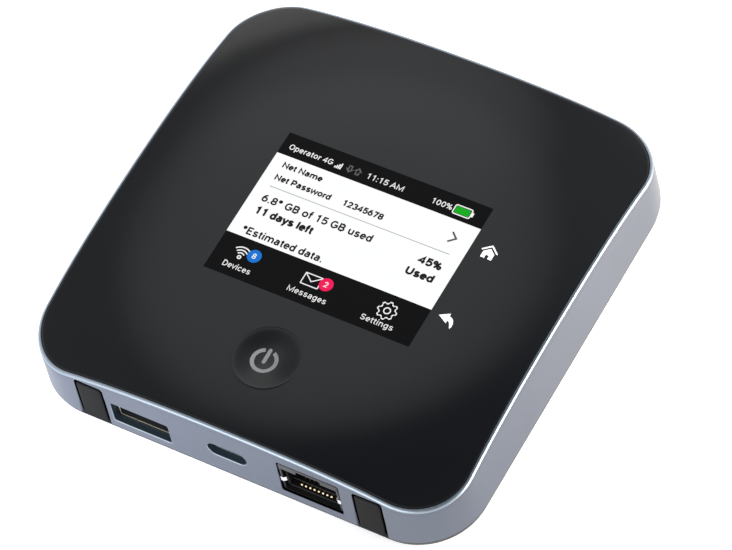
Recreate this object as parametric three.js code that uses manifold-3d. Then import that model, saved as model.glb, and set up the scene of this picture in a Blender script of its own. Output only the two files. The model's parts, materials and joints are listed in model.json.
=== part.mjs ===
// Mobile hotspot: a square pocket router with a colour display, a dished power button, wired ports and
// two covered antenna sockets along its front edge, and a removable battery under a clip-on back cover.
// Millimetres, +Z up, ports towards -Y. The origin is the centre of the underside.
import * as THREE from 'three';
import { mergeVertices } from 'three/addons/utils/BufferGeometryUtils.js';
import Module from 'manifold-3d';

const wasm = await Module();
wasm.setup();

// ---- driving dimensions -------------------------------------------------------------------------

// Outline: every level of the body is a rounded square, given by its half side and corner radius.
const HEIGHT = 20.35;
const WIDEST = { half: 52.75, corner: 15.1 };
const RIM = { half: 52.0, corner: 13.3 };
const PANEL = { half: 51.05, corner: 12.35 };
const HOUSING_INNER = { half: 49.9, corner: 11.2 };
const FOOTPRINT = { half: 49.2, corner: 11.5 };
const COVER_LIP = { half: 50.1, corner: 11.4 };

// Domed top: flat under the display and drooping towards the corners.
const DOME_DROOP = 1.44;
const DOME_RADIUS = PANEL.half;
const DOME_POWER = 4.76;

// Levels, measured up from the underside.
const SEAM = 3.1;
const WIDEST_LEVEL = 3.6;
const RIM_CHAMFER = 0.45;
const RIM_DROP = 0.05;
const PANEL_THICKNESS = 1.4;
const FRAME_PLATE = { low: 10.6, high: 11.6 };
const BOARD = { low: 12.4, high: 13.4 };

const GAP = 0.1;

// Display and the touch keys beside it.
const SCREEN = { x: 1.6, y: 0, width: 49.9, depth: 37.3 };
const WINDOW_GAP = 0.15;
const HOME_KEY = { x: 30.9, y: 8.6 };
const BACK_KEY = { x: 30.5, y: -9.6 };
const KEY_RECESS = 2.7;
const KEY_INLAY = 0.25;

// Power button.
const BUTTON = { x: 0.6, y: -32.9, radius: 7.5, dish: 0.85 };

// Front wall ports: middle of each opening and its size.
const WALL_FRONT = -RIM.half - 1;
const WALL_BACK = -HOUSING_INNER.half + 0.6;
const NETWORK_PORT = { x: 20.1, z: 10.4, width: 14.8, height: 10.5 };
const USB_A_PORT = { x: -21.4, z: 8.7, width: 14.2, height: 6.3 };
const USB_C_PORT = { x: 0.1, z: 10.5, width: 9.5, height: 3.8 };
const FLAP = { width: 6.7, top: 15.45, hinge: 3.85, round: 0.6 };
const FLAP_PLACES = { left: -33.4, right: 34.2 };
const FLAP_CLEARANCE = 0.2;
const CONTACT_COUNT = 8;
const CONTACT_PITCH = 1.02;

// Network jack: a steel shell flush with the wall and a black insert a little way inside it.
const JACK = { front: -52.1, back: -36.8, wall: 0.3, gap: 0.3, insert: 0.9 };
const MOUTH = { half: 6.6, high: 13.5, latchHalf: 2.9, latchTop: 14.6 };
const CAVITY = { half: 6.0, low: 6.35, high: 13.4, latchHalf: 3.1, latchTop: 14.4, back: -39.0 };
const WIRE = {
  tip: -50.6, rise: -49.9, crest: -41.8, end: -39.2, low: 6.45, high: 8.35, thick: 0.3, width: 0.4,
};

// Battery bay.
const BATTERY = { width: 65.4, front: -27.0, back: 34.0, low: 2.2, high: 10.2 };
const BAY_WALL = 1.2;
const BAY_GAP = 0.4;

// Screws that hold the frame to the front panel.
const SCREW_PLACES = [[-44, 44], [44, 44], [-44, -44], [44, -44]];
const SCREW = { head: 1.5, shank: 0.6, length: 3.4, slot: 1.7 };

// Smoothness of curved outlines.
const CORNER_STEPS = 8;
const SIDE_STEPS = 4;
const ROUND_STEPS = 32;
const SMALL_ROUND_STEPS = 16;

// ---- materials ----------------------------------------------------------------------------------

function finish(color, roughness, metalness) {
  return { color, roughness, metalness };
}

const PAINT = finish(0x969eaf, 0.38, 0.7);
const GLOSS_BLACK = finish(0x1c1d20, 0.12, 0.0);
const GLASS = finish(0x0c1014, 0.05, 0.0);
const WHITE_PRINT = finish(0xe9ecee, 0.4, 0.0);
const GREY_PRINT = finish(0x97999d, 0.4, 0.0);
const RUBBER = finish(0x3c3e3f, 0.85, 0.0);
const DARK_PLASTIC = finish(0x26282b, 0.6, 0.0);
const BLACK_PLASTIC = finish(0x101113, 0.5, 0.0);
const STEEL = finish(0xb9bcc0, 0.3, 1.0);
const GOLD = finish(0xd6a94c, 0.25, 1.0);
const SOLDER_MASK = finish(0x14512f, 0.45, 0.0);
const GRAPHITE = finish(0x35373a, 0.55, 0.2);
const FOIL = finish(0xaab0b5, 0.45, 0.8);
const FOAM = finish(0x1e1f20, 0.95, 0.0);
const POLYIMIDE = finish(0xb5651d, 0.4, 0.0);
const SILICONE = finish(0xc9ced2, 0.6, 0.0);
const BATTERY_WRAP = finish(0x2b2d31, 0.5, 0.0);
const CARD_WHITE = finish(0xe4e6e8, 0.5, 0.0);

// ---- outlines and solids ------------------------------------------------------------------------

// Height of the domed top above the underside at a place on the plan.
function domeHeight(x, y) {
  return HEIGHT - DOME_DROOP * Math.pow(Math.hypot(x, y) / DOME_RADIUS, DOME_POWER);
}

// Counter-clockwise points of a rounded square, the same number at every size.
function roundedSquare({ half, corner }) {
  const points = [];
  const middle = half - corner;
  for (let quarter = 0; quarter < 4; quarter += 1) {
    const turn = quarter * Math.PI / 2;
    for (let step = 0; step <= CORNER_STEPS; step += 1) {
      const angle = step / CORNER_STEPS * Math.PI / 2;
      points.push(turned(middle + corner * Math.cos(angle), middle + corner * Math.sin(angle), turn));
    }
    for (let step = 1; step < SIDE_STEPS; step += 1) {
      points.push(turned(middle * (1 - 2 * step / SIDE_STEPS), half, turn));
    }
  }
  return points;
}

function turned(x, y, angle) {
  return [x * Math.cos(angle) - y * Math.sin(angle), x * Math.sin(angle) + y * Math.cos(angle)];
}

// One ring of a lofted body: an outline lifted to a level, which is a number or a function of the place.
function ringAt(outline, level) {
  const height = typeof level === 'function' ? level : () => level;
  return roundedSquare(outline).map(([x, y]) => new THREE.Vector3(x, y, height(x, y)));
}

// Skin over a list of rings. An annular body joins its last ring to its first; the others are capped.
function loft(rings, annular = false) {
  const count = rings[0].length;
  const points = rings.flat();
  const faces = [];
  const bands = annular ? rings.length : rings.length - 1;
  for (let band = 0; band < bands; band += 1) {
    const low = band * count;
    const high = ((band + 1) % rings.length) * count;
    for (let step = 0; step < count; step += 1) {
      const next = (step + 1) % count;
      faces.push(low + step, low + next, high + next, low + step, high + next, high + step);
    }
  }
  if (!annular) {
    const last = (rings.length - 1) * count;
    const bottom = points.push(ringMiddle(rings[0])) - 1;
    const top = points.push(ringMiddle(rings.at(-1))) - 1;
    for (let step = 0; step < count; step += 1) {
      const next = (step + 1) % count;
      faces.push(bottom, next, step, top, last + step, last + next);
    }
  }
  const geometry = new THREE.BufferGeometry().setFromPoints(points);
  geometry.setIndex(faces);
  return geometry;
}

// The middle of a ring on the plan, at the level that its first point would have there.
function ringMiddle(ring) {
  const flat = ring.every((point) => Math.abs(point.z - ring[0].z) < 1e-6);
  const rise = DOME_DROOP * Math.pow(Math.hypot(ring[0].x, ring[0].y) / DOME_RADIUS, DOME_POWER);
  return new THREE.Vector3(0, 0, flat ? ring[0].z : ring[0].z + rise);
}

// A solid under the dome: its top follows the dome, lowered by drop, and its underside lies parallel.
function domedPlate(outline, drop, thickness) {
  const scales = [0.3, 0.55, 0.72, 0.84, 0.93, 1];
  const scaled = (scale) => ({ half: outline.half * scale, corner: outline.corner * scale });
  const topLevel = (x, y) => domeHeight(x, y) - drop;
  const underLevel = (x, y) => domeHeight(x, y) - drop - thickness;
  const under = scales.map((scale) => ringAt(scaled(scale), underLevel));
  const top = scales.map((scale) => ringAt(scaled(scale), topLevel)).reverse();
  return loft([...under, ...top]);
}

function box(x0, x1, y0, y1, z0, z1) {
  const geometry = new THREE.BoxGeometry(x1 - x0, y1 - y0, z1 - z0);
  return geometry.translate((x0 + x1) / 2, (y0 + y1) / 2, (z0 + z1) / 2);
}

function block(x, y, width, depth, low, high) {
  return box(x - width / 2, x + width / 2, y - depth / 2, y + depth / 2, low, high);
}

function upright(x, y, radius, low, high, steps = SMALL_ROUND_STEPS) {
  const geometry = new THREE.CylinderGeometry(radius, radius, high - low, steps);
  return geometry.rotateX(Math.PI / 2).translate(x, y, (low + high) / 2);
}

function frontwards(x, z, radius, front, back, steps = SMALL_ROUND_STEPS) {
  const geometry = new THREE.CylinderGeometry(radius, radius, back - front, steps);
  return geometry.translate(x, (front + back) / 2, z);
}

function roundedShape(width, height, radius) {
  const shape = new THREE.Shape();
  const right = width / 2 - radius;
  const top = height / 2 - radius;
  shape.absarc(right, top, radius, 0, Math.PI / 2);
  shape.absarc(-right, top, radius, Math.PI / 2, Math.PI);
  shape.absarc(-right, -top, radius, Math.PI, 1.5 * Math.PI);
  shape.absarc(right, -top, radius, 1.5 * Math.PI, 2 * Math.PI);
  return shape;
}

function polygonShape(points) {
  return new THREE.Shape(points.map(([x, y]) => new THREE.Vector2(x, y)));
}

// Upright prism of a plan shape.
function upPrism(shape, x, y, low, high, curveSegments = 4) {
  const options = { depth: high - low, bevelEnabled: false, curveSegments };
  const geometry = new THREE.ExtrudeGeometry(shape, options);
  return geometry.translate(x, y, low);
}

// Prism of a shape drawn on the front wall (across, up), running back from front to back.
function frontPrism(shape, x, z, front, back, curveSegments = 4) {
  const options = { depth: back - front, bevelEnabled: false, curveSegments };
  const geometry = new THREE.ExtrudeGeometry(shape, options);
  return geometry.rotateX(Math.PI / 2).translate(x, back, z);
}

// Prism of a side profile (y, z), running across from left to right.
function sidePrism(shape, left, right, curveSegments = 4) {
  const options = { depth: right - left, bevelEnabled: false, curveSegments };
  const geometry = new THREE.ExtrudeGeometry(shape, options);
  const axes = new THREE.Matrix4().makeBasis(
    new THREE.Vector3(0, 1, 0), new THREE.Vector3(0, 0, 1), new THREE.Vector3(1, 0, 0));
  return geometry.applyMatrix4(axes).translate(left, 0, 0);
}

function toSolid(geometry) {
  const bare = new THREE.BufferGeometry();
  bare.setAttribute('position', geometry.getAttribute('position').clone());
  if (geometry.index) bare.setIndex(geometry.index.clone());
  const merged = mergeVertices(bare, 1e-5);
  return new wasm.Manifold(new wasm.Mesh({
    numProp: 3,
    vertProperties: new Float32Array(merged.getAttribute('position').array),
    triVerts: new Uint32Array(merged.index.array),
  }));
}

function toGeometry(solid) {
  const { vertProperties, triVerts } = solid.getMesh();
  const geometry = new THREE.BufferGeometry();
  geometry.setAttribute('position', new THREE.BufferAttribute(new Float32Array(vertProperties), 3));
  geometry.setIndex(new THREE.BufferAttribute(new Uint32Array(triVerts), 1));
  return geometry;
}

function join(...geometries) {
  return toGeometry(geometries.map(toSolid).reduce((whole, piece) => whole.add(piece)));
}

function cut(geometry, ...tools) {
  return toGeometry(tools.map(toSolid).reduce((whole, tool) => whole.subtract(tool), toSolid(geometry)));
}

function common(geometry, other) {
  return toGeometry(toSolid(geometry).intersect(toSolid(other)));
}

// ---- the assembly -------------------------------------------------------------------------------

const hotspot = new THREE.Group();

function add(name, geometry, { color, roughness, metalness }) {
  const mesh = new THREE.Mesh(geometry, new THREE.MeshStandardMaterial({ color, roughness, metalness }));
  mesh.name = name;
  hotspot.add(mesh);
}

// ---- side housing -------------------------------------------------------------------------------

function sideHousing() {
  const rimLevel = (x, y) => domeHeight(x, y) - RIM_DROP;
  const chamferLevel = (x, y) => rimLevel(x, y) - RIM_CHAMFER;
  const ledgeLevel = (x, y) => domeHeight(x, y) - PANEL_THICKNESS - GAP;
  const panelSeat = { half: PANEL.half + 2 * GAP, corner: PANEL.corner + 2 * GAP };
  const coverSeat = { half: COVER_LIP.half + 0.4, corner: COVER_LIP.corner + 0.4 };
  const ring = loft([
    ringAt({ half: WIDEST.half - 0.15, corner: WIDEST.corner - 0.15 }, SEAM + GAP),
    ringAt(WIDEST, WIDEST_LEVEL),
    ringAt(RIM, chamferLevel),
    ringAt({ half: RIM.half - RIM_CHAMFER, corner: RIM.corner - RIM_CHAMFER }, rimLevel),
    ringAt(panelSeat, rimLevel),
    ringAt(panelSeat, ledgeLevel),
    ringAt(HOUSING_INNER, ledgeLevel),
    ringAt(HOUSING_INNER, FRAME_PLATE.high),
    ringAt(coverSeat, FRAME_PLATE.low - 1),
    ringAt(coverSeat, SEAM + GAP),
  ], true);
  const openings = [
    frontPrism(roundedShape(NETWORK_PORT.width, NETWORK_PORT.height, 0.7),
      NETWORK_PORT.x, NETWORK_PORT.z, WALL_FRONT, WALL_BACK),
    frontPrism(roundedShape(USB_A_PORT.width, USB_A_PORT.height, 0.5),
      USB_A_PORT.x, USB_A_PORT.z, WALL_FRONT, WALL_BACK),
    frontPrism(roundedShape(USB_C_PORT.width, USB_C_PORT.height, USB_C_PORT.height / 2 - 0.01),
      USB_C_PORT.x, USB_C_PORT.z, WALL_FRONT, WALL_BACK, 8),
  ];
  for (const x of Object.values(FLAP_PLACES)) {
    const width = FLAP.width + 2 * FLAP_CLEARANCE;
    openings.push(box(x - width / 2, x + width / 2, WALL_FRONT, WALL_BACK, 0, FLAP.top + FLAP_CLEARANCE));
  }
  return cut(ring, ...openings);
}

add('side_housing', sideHousing(), PAINT);

// ---- front panel, display window and touch keys -------------------------------------------------

const HOME_SHAPE = polygonShape([[0, 2.0], [-1.95, 0.35], [-1.45, 0.35], [-1.45, -1.8], [-0.4, -1.8],
  [-0.4, -0.85], [0.4, -0.85], [0.4, -1.8], [1.45, -1.8], [1.45, 0.35], [1.95, 0.35]]);

const BACK_SHAPE = polygonShape([[-1.9, 0.4], [0.15, -0.8], [0.2, -0.15], [0.7, -0.25], [1.3, -0.8],
  [1.7, -1.7], [1.75, -0.3], [1.2, 0.6], [0.3, 0.95], [0.3, 1.6]]);

function keyLevel(key) {
  return domeHeight(key.x, key.y) - 0.05;
}

function panelBosses() {
  return SCREW_PLACES.map(([x, y]) => {
    const top = domeHeight(x, y) - PANEL_THICKNESS / 2;
    return upright(x, y, 1.8, BOARD.low - 0.5, top - 0.3);
  });
}

function frontPanel() {
  const underside = domeHeight(BUTTON.x, BUTTON.y) - PANEL_THICKNESS;
  const skirtLow = underside - 1.9;
  const skirt = cut(
    upright(BUTTON.x, BUTTON.y, BUTTON.radius + 2.2, skirtLow, underside + 0.4, ROUND_STEPS),
    upright(BUTTON.x, BUTTON.y, BUTTON.radius + 1.2, skirtLow - 1, underside + 1, ROUND_STEPS));
  const shell = join(domedPlate(PANEL, 0, PANEL_THICKNESS), skirt, ...panelBosses());
  return cut(shell,
    block(SCREEN.x, SCREEN.y, SCREEN.width, SCREEN.depth, 0, HEIGHT + 5),
    upright(BUTTON.x, BUTTON.y, BUTTON.radius + GAP, 0, HEIGHT + 5, ROUND_STEPS),
    ...[HOME_KEY, BACK_KEY].map((key) =>
      upright(key.x, key.y, KEY_RECESS, keyLevel(key) - KEY_INLAY - GAP, HEIGHT + 5, ROUND_STEPS)),
    ...SCREW_PLACES.map(([x, y]) => upright(x, y, SCREW.shank + 0.15, 0, BOARD.low + 2.1)));
}

function displayWindow() {
  const opening = block(SCREEN.x, SCREEN.y, SCREEN.width - 2 * WINDOW_GAP, SCREEN.depth - 2 * WINDOW_GAP,
    HEIGHT - 3, HEIGHT + 5);
  return common(domedPlate(PANEL, 0.03, PANEL_THICKNESS - 0.2), opening);
}

add('front_panel', frontPanel(), GLOSS_BLACK);
add('display_window', displayWindow(), GLASS);
add('home_key', upPrism(HOME_SHAPE, HOME_KEY.x, HOME_KEY.y,
  keyLevel(HOME_KEY) - KEY_INLAY, keyLevel(HOME_KEY)), WHITE_PRINT);
add('back_key', upPrism(BACK_SHAPE, BACK_KEY.x, BACK_KEY.y,
  keyLevel(BACK_KEY) - KEY_INLAY, keyLevel(BACK_KEY)), WHITE_PRINT);

// ---- display module -----------------------------------------------------------------------------

const LCD = { width: 54, depth: 42, low: 16.9, high: 18.15 };
const BACKLIGHT = { low: 15.7, high: 16.75 };
const LCD_TRAY = { low: 15.25, floor: 15.55, top: 17.9 };
const GASKET = { wall: 2, low: 18.25, high: 18.6 };
const TOUCH_STRIP = { left: 29.5, right: 34.6, front: -14, back: 13, low: 18.2, high: 18.4 };
const FLEX = { width: 12, thick: 0.2, upper: 17.4, lower: 13.5, bend: -30.6 };

function frameRing(width, depth, wall, low, high) {
  return cut(block(SCREEN.x, SCREEN.y, width, depth, low, high),
    block(SCREEN.x, SCREEN.y, width - 2 * wall, depth - 2 * wall, low - 1, high + 1));
}

function lcdFrame() {
  const tray = cut(block(SCREEN.x, SCREEN.y, LCD.width + 2, LCD.depth + 2, LCD_TRAY.low, LCD_TRAY.top),
    block(SCREEN.x, SCREEN.y, LCD.width + 1, LCD.depth + 1, LCD_TRAY.floor, HEIGHT));
  const halfNotch = FLEX.width / 2 + 0.5;
  const flexNotch = box(FLEX.bend, SCREEN.x - LCD.width / 2, -halfNotch, halfNotch, LCD.low, HEIGHT);
  return cut(tray, flexNotch);
}

function lcdFlex() {
  const start = SCREEN.x - LCD.width / 2 - 0.2;
  const end = start + 1;
  const { bend, thick, upper, lower } = FLEX;
  const outerTurn = bend + 0.6;
  const innerTurn = bend + 0.7;
  const profile = polygonShape([
    [start, upper], [start, upper + thick], [outerTurn, upper + thick], [bend, upper - 0.4],
    [bend, lower + 0.6], [outerTurn, lower], [end, lower], [end, lower + thick],
    [innerTurn, lower + thick], [bend + thick, lower + 0.7], [bend + thick, upper - 0.5],
    [innerTurn, upper]]);
  return frontPrism(profile, 0, 0, -FLEX.width / 2, FLEX.width / 2);
}

add('display_gasket', frameRing(LCD.width, LCD.depth, GASKET.wall, GASKET.low, GASKET.high), FOAM);
add('lcd_panel', block(SCREEN.x, SCREEN.y, LCD.width, LCD.depth, LCD.low, LCD.high), GLASS);
add('lcd_backlight', block(SCREEN.x, SCREEN.y, LCD.width - 0.6, LCD.depth - 0.6,
  BACKLIGHT.low, BACKLIGHT.high), WHITE_PRINT);
add('lcd_frame', lcdFrame(), STEEL);
add('lcd_flex', lcdFlex(), POLYIMIDE);
add('touch_sensor', box(TOUCH_STRIP.left, TOUCH_STRIP.right, TOUCH_STRIP.front, TOUCH_STRIP.back,
  TOUCH_STRIP.low, TOUCH_STRIP.high), POLYIMIDE);

// ---- power button -------------------------------------------------------------------------------

const SYMBOL = { radius: 2.62, line: 0.95, gap: 2.0, recess: 3.6, level: 0.5 };
const STEM = { radius: 1.4, foot: 15.75 };
const FLANGE = { radius: BUTTON.radius + 0.9, low: 17.9, high: 18.4 };
const SWITCH = { side: 4.5, top: 14.9, plunger: 1.2, tip: 15.25 };
const SPRING = { radius: BUTTON.radius + 2, low: 16.45, high: 16.75, hole: 1.9, slot: 2.2 };

function powerButton() {
  const rim = domeHeight(BUTTON.x, BUTTON.y) - 0.05;
  const profile = [[0, STEM.foot], [STEM.radius, STEM.foot], [STEM.radius, FLANGE.low],
    [FLANGE.radius, FLANGE.low], [FLANGE.radius, FLANGE.high], [BUTTON.radius, FLANGE.high],
    [BUTTON.radius, rim - 0.05], [BUTTON.radius - 0.15, rim]];
  const dishSteps = 5;
  for (let step = 1; step <= dishSteps; step += 1) {
    const part = 1 - step / dishSteps;
    profile.push([(BUTTON.radius - 0.15) * part, rim - BUTTON.dish * (1 - part * part)]);
  }
  const lathe = new THREE.LatheGeometry(profile.map(([r, z]) => new THREE.Vector2(r, z)), ROUND_STEPS);
  const cap = lathe.rotateX(Math.PI / 2).translate(BUTTON.x, BUTTON.y, 0);
  const floor = rim - BUTTON.dish - 0.35;
  return cut(cap, upright(BUTTON.x, BUTTON.y, SYMBOL.recess, floor, HEIGHT + 5, ROUND_STEPS));
}

function powerSymbol() {
  const floor = domeHeight(BUTTON.x, BUTTON.y) - 0.05 - BUTTON.dish - 0.3;
  const top = floor + SYMBOL.level;
  const base = upright(BUTTON.x, BUTTON.y, SYMBOL.recess - 0.15, floor, floor + 0.2, ROUND_STEPS);
  const ring = cut(
    upright(BUTTON.x, BUTTON.y, SYMBOL.radius + SYMBOL.line / 2, floor + 0.1, top, ROUND_STEPS),
    upright(BUTTON.x, BUTTON.y, SYMBOL.radius - SYMBOL.line / 2, floor, top + 1, ROUND_STEPS),
    block(BUTTON.x, BUTTON.y + SYMBOL.radius, SYMBOL.gap, 2, floor, top + 1));
  const bar = block(BUTTON.x, BUTTON.y + 1.1, SYMBOL.line, 3.8, floor + 0.1, top);
  return join(base, ring, bar);
}

function powerSwitch() {
  return join(block(BUTTON.x, BUTTON.y, SWITCH.side, SWITCH.side, BOARD.high + GAP, SWITCH.top),
    upright(BUTTON.x, BUTTON.y, SWITCH.plunger, BOARD.high + 1, SWITCH.tip));
}

function buttonSpring() {
  const disc = upright(BUTTON.x, BUTTON.y, SPRING.radius, SPRING.low, SPRING.high, ROUND_STEPS);
  const place = SPRING.radius * 0.62;
  const slots = [0, 1, 2].map((index) => {
    const angle = index * 2 * Math.PI / 3 + Math.PI / 6;
    return upright(BUTTON.x + place * Math.cos(angle), BUTTON.y + place * Math.sin(angle),
      SPRING.slot, SPRING.low - 1, SPRING.high + 1);
  });
  return cut(disc, upright(BUTTON.x, BUTTON.y, SPRING.hole, SPRING.low - 1, SPRING.high + 1), ...slots);
}

add('power_button', powerButton(), GLOSS_BLACK);
add('power_symbol', powerSymbol(), GREY_PRINT);
add('power_switch', powerSwitch(), STEEL);
add('button_spring', buttonSpring(), SILICONE);
add('power_led', block(BUTTON.x + 4, BUTTON.y, 1.6, 0.8, BOARD.high + GAP, BOARD.high + 0.7), WHITE_PRINT);

// ---- frame, board and shields -------------------------------------------------------------------

const BAY = {
  left: -BATTERY.width / 2 - BAY_GAP,
  right: BATTERY.width / 2 + BAY_GAP,
  front: BATTERY.front - BAY_GAP,
  back: BATTERY.back + BAY_GAP,
};
const CONTACT_BLOCK_WIDTH = 13;
const FRAME_OUTLINE = { half: 49.5, corner: 10.9 };
const PORT_CUTOUT_HALF = 39;
const BOARD_OUTLINE = { side: 92, corner: 14, y: -0.4 };
const SHIELD = { top: 15.05, wall: 0.3 };

function midFrame() {
  const plate = loft([ringAt(FRAME_OUTLINE, FRAME_PLATE.low), ringAt(FRAME_OUTLINE, FRAME_PLATE.high)]);
  const walls = cut(
    box(BAY.left - BAY_WALL, BAY.right + BAY_WALL, BAY.front - BAY_WALL, BAY.back + BAY_WALL,
      BATTERY.low, FRAME_PLATE.low + 0.2),
    box(BAY.left, BAY.right, BAY.front, BAY.back, 0, FRAME_PLATE.low),
    block(0, BAY.front, CONTACT_BLOCK_WIDTH + 1.2, 4, 0, FRAME_PLATE.low));
  const whole = join(plate, walls);
  return cut(whole,
    box(-PORT_CUTOUT_HALF, PORT_CUTOUT_HALF, WALL_FRONT, BAY.front - BAY_WALL, 0, HEIGHT),
    block(0, BAY.front - 1, CONTACT_BLOCK_WIDTH + 1.2, 2.4, 0, HEIGHT),
    ...SCREW_PLACES.map(([x, y]) => upright(x, y, SCREW.shank + 0.2, 0, HEIGHT)));
}

function mainBoard() {
  const outline = roundedShape(BOARD_OUTLINE.side, BOARD_OUTLINE.side, BOARD_OUTLINE.corner);
  const board = upPrism(outline, 0, BOARD_OUTLINE.y, BOARD.low, BOARD.high, 5);
  const halfNotch = NETWORK_PORT.width / 2 + 0.2;
  return cut(board, box(NETWORK_PORT.x - halfNotch, NETWORK_PORT.x + halfNotch, WALL_FRONT,
    JACK.back + 0.6, 0, HEIGHT));
}

function shieldCan(x, y, width, depth) {
  return cut(block(x, y, width, depth, BOARD.high + GAP, SHIELD.top),
    block(x, y, width - 2 * SHIELD.wall, depth - 2 * SHIELD.wall, 0, SHIELD.top - SHIELD.wall));
}

add('mid_frame', midFrame(), DARK_PLASTIC);
add('main_board', mainBoard(), SOLDER_MASK);
add('modem_shield', shieldCan(8, 6, 34, 30), FOIL);
add('radio_shield', shieldCan(-12, 33, 26, 15), FOIL);
add('supply_shield', shieldCan(20, 33, 22, 15), FOIL);
add('heat_spreader', box(-20, 32, -20, 30, 11.7, 11.9), GRAPHITE);
add('thermal_pad', box(-6, 22, -6, 18, 12.0, 12.3), SILICONE);

// ---- network port -------------------------------------------------------------------------------

// The jack takes a plug with its latch upwards: a T-shaped mouth, the contacts along the floor.
function jackShell() {
  const { x, z, width, height } = NETWORK_PORT;
  const outer = frontPrism(roundedShape(width - 2 * JACK.gap, height - 2 * JACK.gap, 0.5),
    x, z, JACK.front, JACK.back);
  const inset = JACK.gap + JACK.wall;
  const inner = frontPrism(roundedShape(width - 2 * inset, height - 2 * inset, 0.2),
    x, z, JACK.front + JACK.wall, JACK.back - JACK.wall);
  const floor = z - height / 2 + inset;
  return cut(outer, inner, ...plugSpaces(MOUTH, floor, JACK.front + 1));
}

function jackBody() {
  const { x, z, width, height } = NETWORK_PORT;
  const inset = JACK.gap + JACK.wall + 0.2;
  const outer = frontPrism(roundedShape(width - 2 * inset, height - 2 * inset, 0.1),
    x, z, JACK.front + JACK.insert, JACK.back - JACK.wall - 0.15);
  return cut(outer, ...plugSpaces(CAVITY, CAVITY.low, CAVITY.back));
}

// Space for a plug and, above it, for its latch.
function plugSpaces(mouth, low, back) {
  const { x } = NETWORK_PORT;
  return [
    box(x - mouth.half, x + mouth.half, WALL_FRONT, back, low, mouth.high),
    box(x - mouth.latchHalf, x + mouth.latchHalf, WALL_FRONT, back, mouth.high - 1, mouth.latchTop),
  ];
}

// A spring wire: it starts low behind the mouth and rises towards the back.
function jackContact(index) {
  const across = NETWORK_PORT.x + (index - (CONTACT_COUNT - 1) / 2) * CONTACT_PITCH;
  const { tip, rise, crest, end, low, high, thick } = WIRE;
  const profile = polygonShape([[tip, low], [rise, low], [crest, high], [end, high],
    [end, high + thick], [crest - 0.1, high + thick], [rise - 0.1, low + thick], [tip, low + thick]]);
  return sidePrism(profile, across - WIRE.width / 2, across + WIRE.width / 2);
}

add('network_jack_shell', jackShell(), STEEL);
add('network_jack_body', jackBody(), BLACK_PLASTIC);
for (let index = 0; index < CONTACT_COUNT; index += 1) {
  add(`network_jack_contact_${index + 1}`, jackContact(index), GOLD);
}

// ---- USB ports ----------------------------------------------------------------------------------

function portShell(port, width, height, radius, front, back, curveSegments) {
  const wall = 0.3;
  const innerRadius = Math.max(radius - wall, 0.1);
  return cut(
    frontPrism(roundedShape(width, height, radius), port.x, port.z, front, back, curveSegments),
    frontPrism(roundedShape(width - 2 * wall, height - 2 * wall, innerRadius),
      port.x, port.z, front - 1, back - wall, curveSegments));
}

function portTongue(port, tongue, low, high) {
  const half = tongue.width / 2;
  return box(port.x - half, port.x + half, tongue.front, tongue.back, port.z + low, port.z + high);
}

const USB_A_SHELL = { width: 13.1, height: 5.7, front: -50.9, back: -36.5 };
const USB_C_SHELL = { width: 8.94, height: 3.26, front: -50.9, back: -43.5 };
const USB_A_TONGUE = { width: 11.1, front: -48.2, back: -37.0, low: 0.2, high: 2.04 };
const USB_C_TONGUE = { width: 6.7, front: -49.85, back: -43.95, half: 0.35 };

add('usb_a_shell', portShell(USB_A_PORT, USB_A_SHELL.width, USB_A_SHELL.height, 0.5,
  USB_A_SHELL.front, USB_A_SHELL.back, 2), STEEL);
add('usb_a_tongue', portTongue(USB_A_PORT, USB_A_TONGUE, USB_A_TONGUE.low, USB_A_TONGUE.high),
  BLACK_PLASTIC);
add('usb_c_shell', portShell(USB_C_PORT, USB_C_SHELL.width, USB_C_SHELL.height, 1.62,
  USB_C_SHELL.front, USB_C_SHELL.back, 6), STEEL);
add('usb_c_tongue', portTongue(USB_C_PORT, USB_C_TONGUE, -USB_C_TONGUE.half, USB_C_TONGUE.half),
  BLACK_PLASTIC);

// ---- antenna sockets and their rubber flaps -----------------------------------------------------

const SOCKET = { z: 9.9, front: -49.4, flange: -44, back: -40.5, barrel: 2.0, bore: 1.5, pin: 0.4 };

function antennaSocket(x) {
  const base = block(x, (SOCKET.flange + SOCKET.back) / 2, 5, SOCKET.back - SOCKET.flange, 7.7, 12.1);
  const barrel = frontwards(x, SOCKET.z, SOCKET.barrel, SOCKET.front, SOCKET.flange + 0.5, 20);
  const bore = frontwards(x, SOCKET.z, SOCKET.bore, SOCKET.front - 1, SOCKET.flange + 1, 20);
  return cut(join(base, barrel), bore);
}

// A flap closes its opening flush with the wall and turns down about the round along its lower edge.
function antennaFlap(x) {
  const left = x - FLAP.width / 2;
  const right = x + FLAP.width / 2;
  const hingeY = -WIDEST.half + FLAP.round + 0.05;
  const lean = (WIDEST.half - RIM.half) * (FLAP.top - FLAP.hinge) / (HEIGHT - FLAP.hinge);
  const shape = new THREE.Shape();
  shape.moveTo(hingeY - FLAP.round, FLAP.hinge);
  shape.absarc(hingeY, FLAP.hinge, FLAP.round, Math.PI, 1.5 * Math.PI);
  shape.absarc(hingeY, FLAP.hinge, FLAP.round, 1.5 * Math.PI, 2 * Math.PI);
  shape.lineTo(hingeY + FLAP.round + 0.25, FLAP.hinge + 0.8);
  shape.lineTo(hingeY + FLAP.round + 0.25, FLAP.top);
  shape.lineTo(hingeY - FLAP.round + lean, FLAP.top);
  const plug = frontwards(x, SOCKET.z, 2.6, hingeY + 0.5, -49.9, 20);
  const bore = frontwards(x, SOCKET.z, 1.9, hingeY + 1.4, -49, 20);
  return cut(join(sidePrism(shape, left, right, 6), plug), bore);
}

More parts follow.
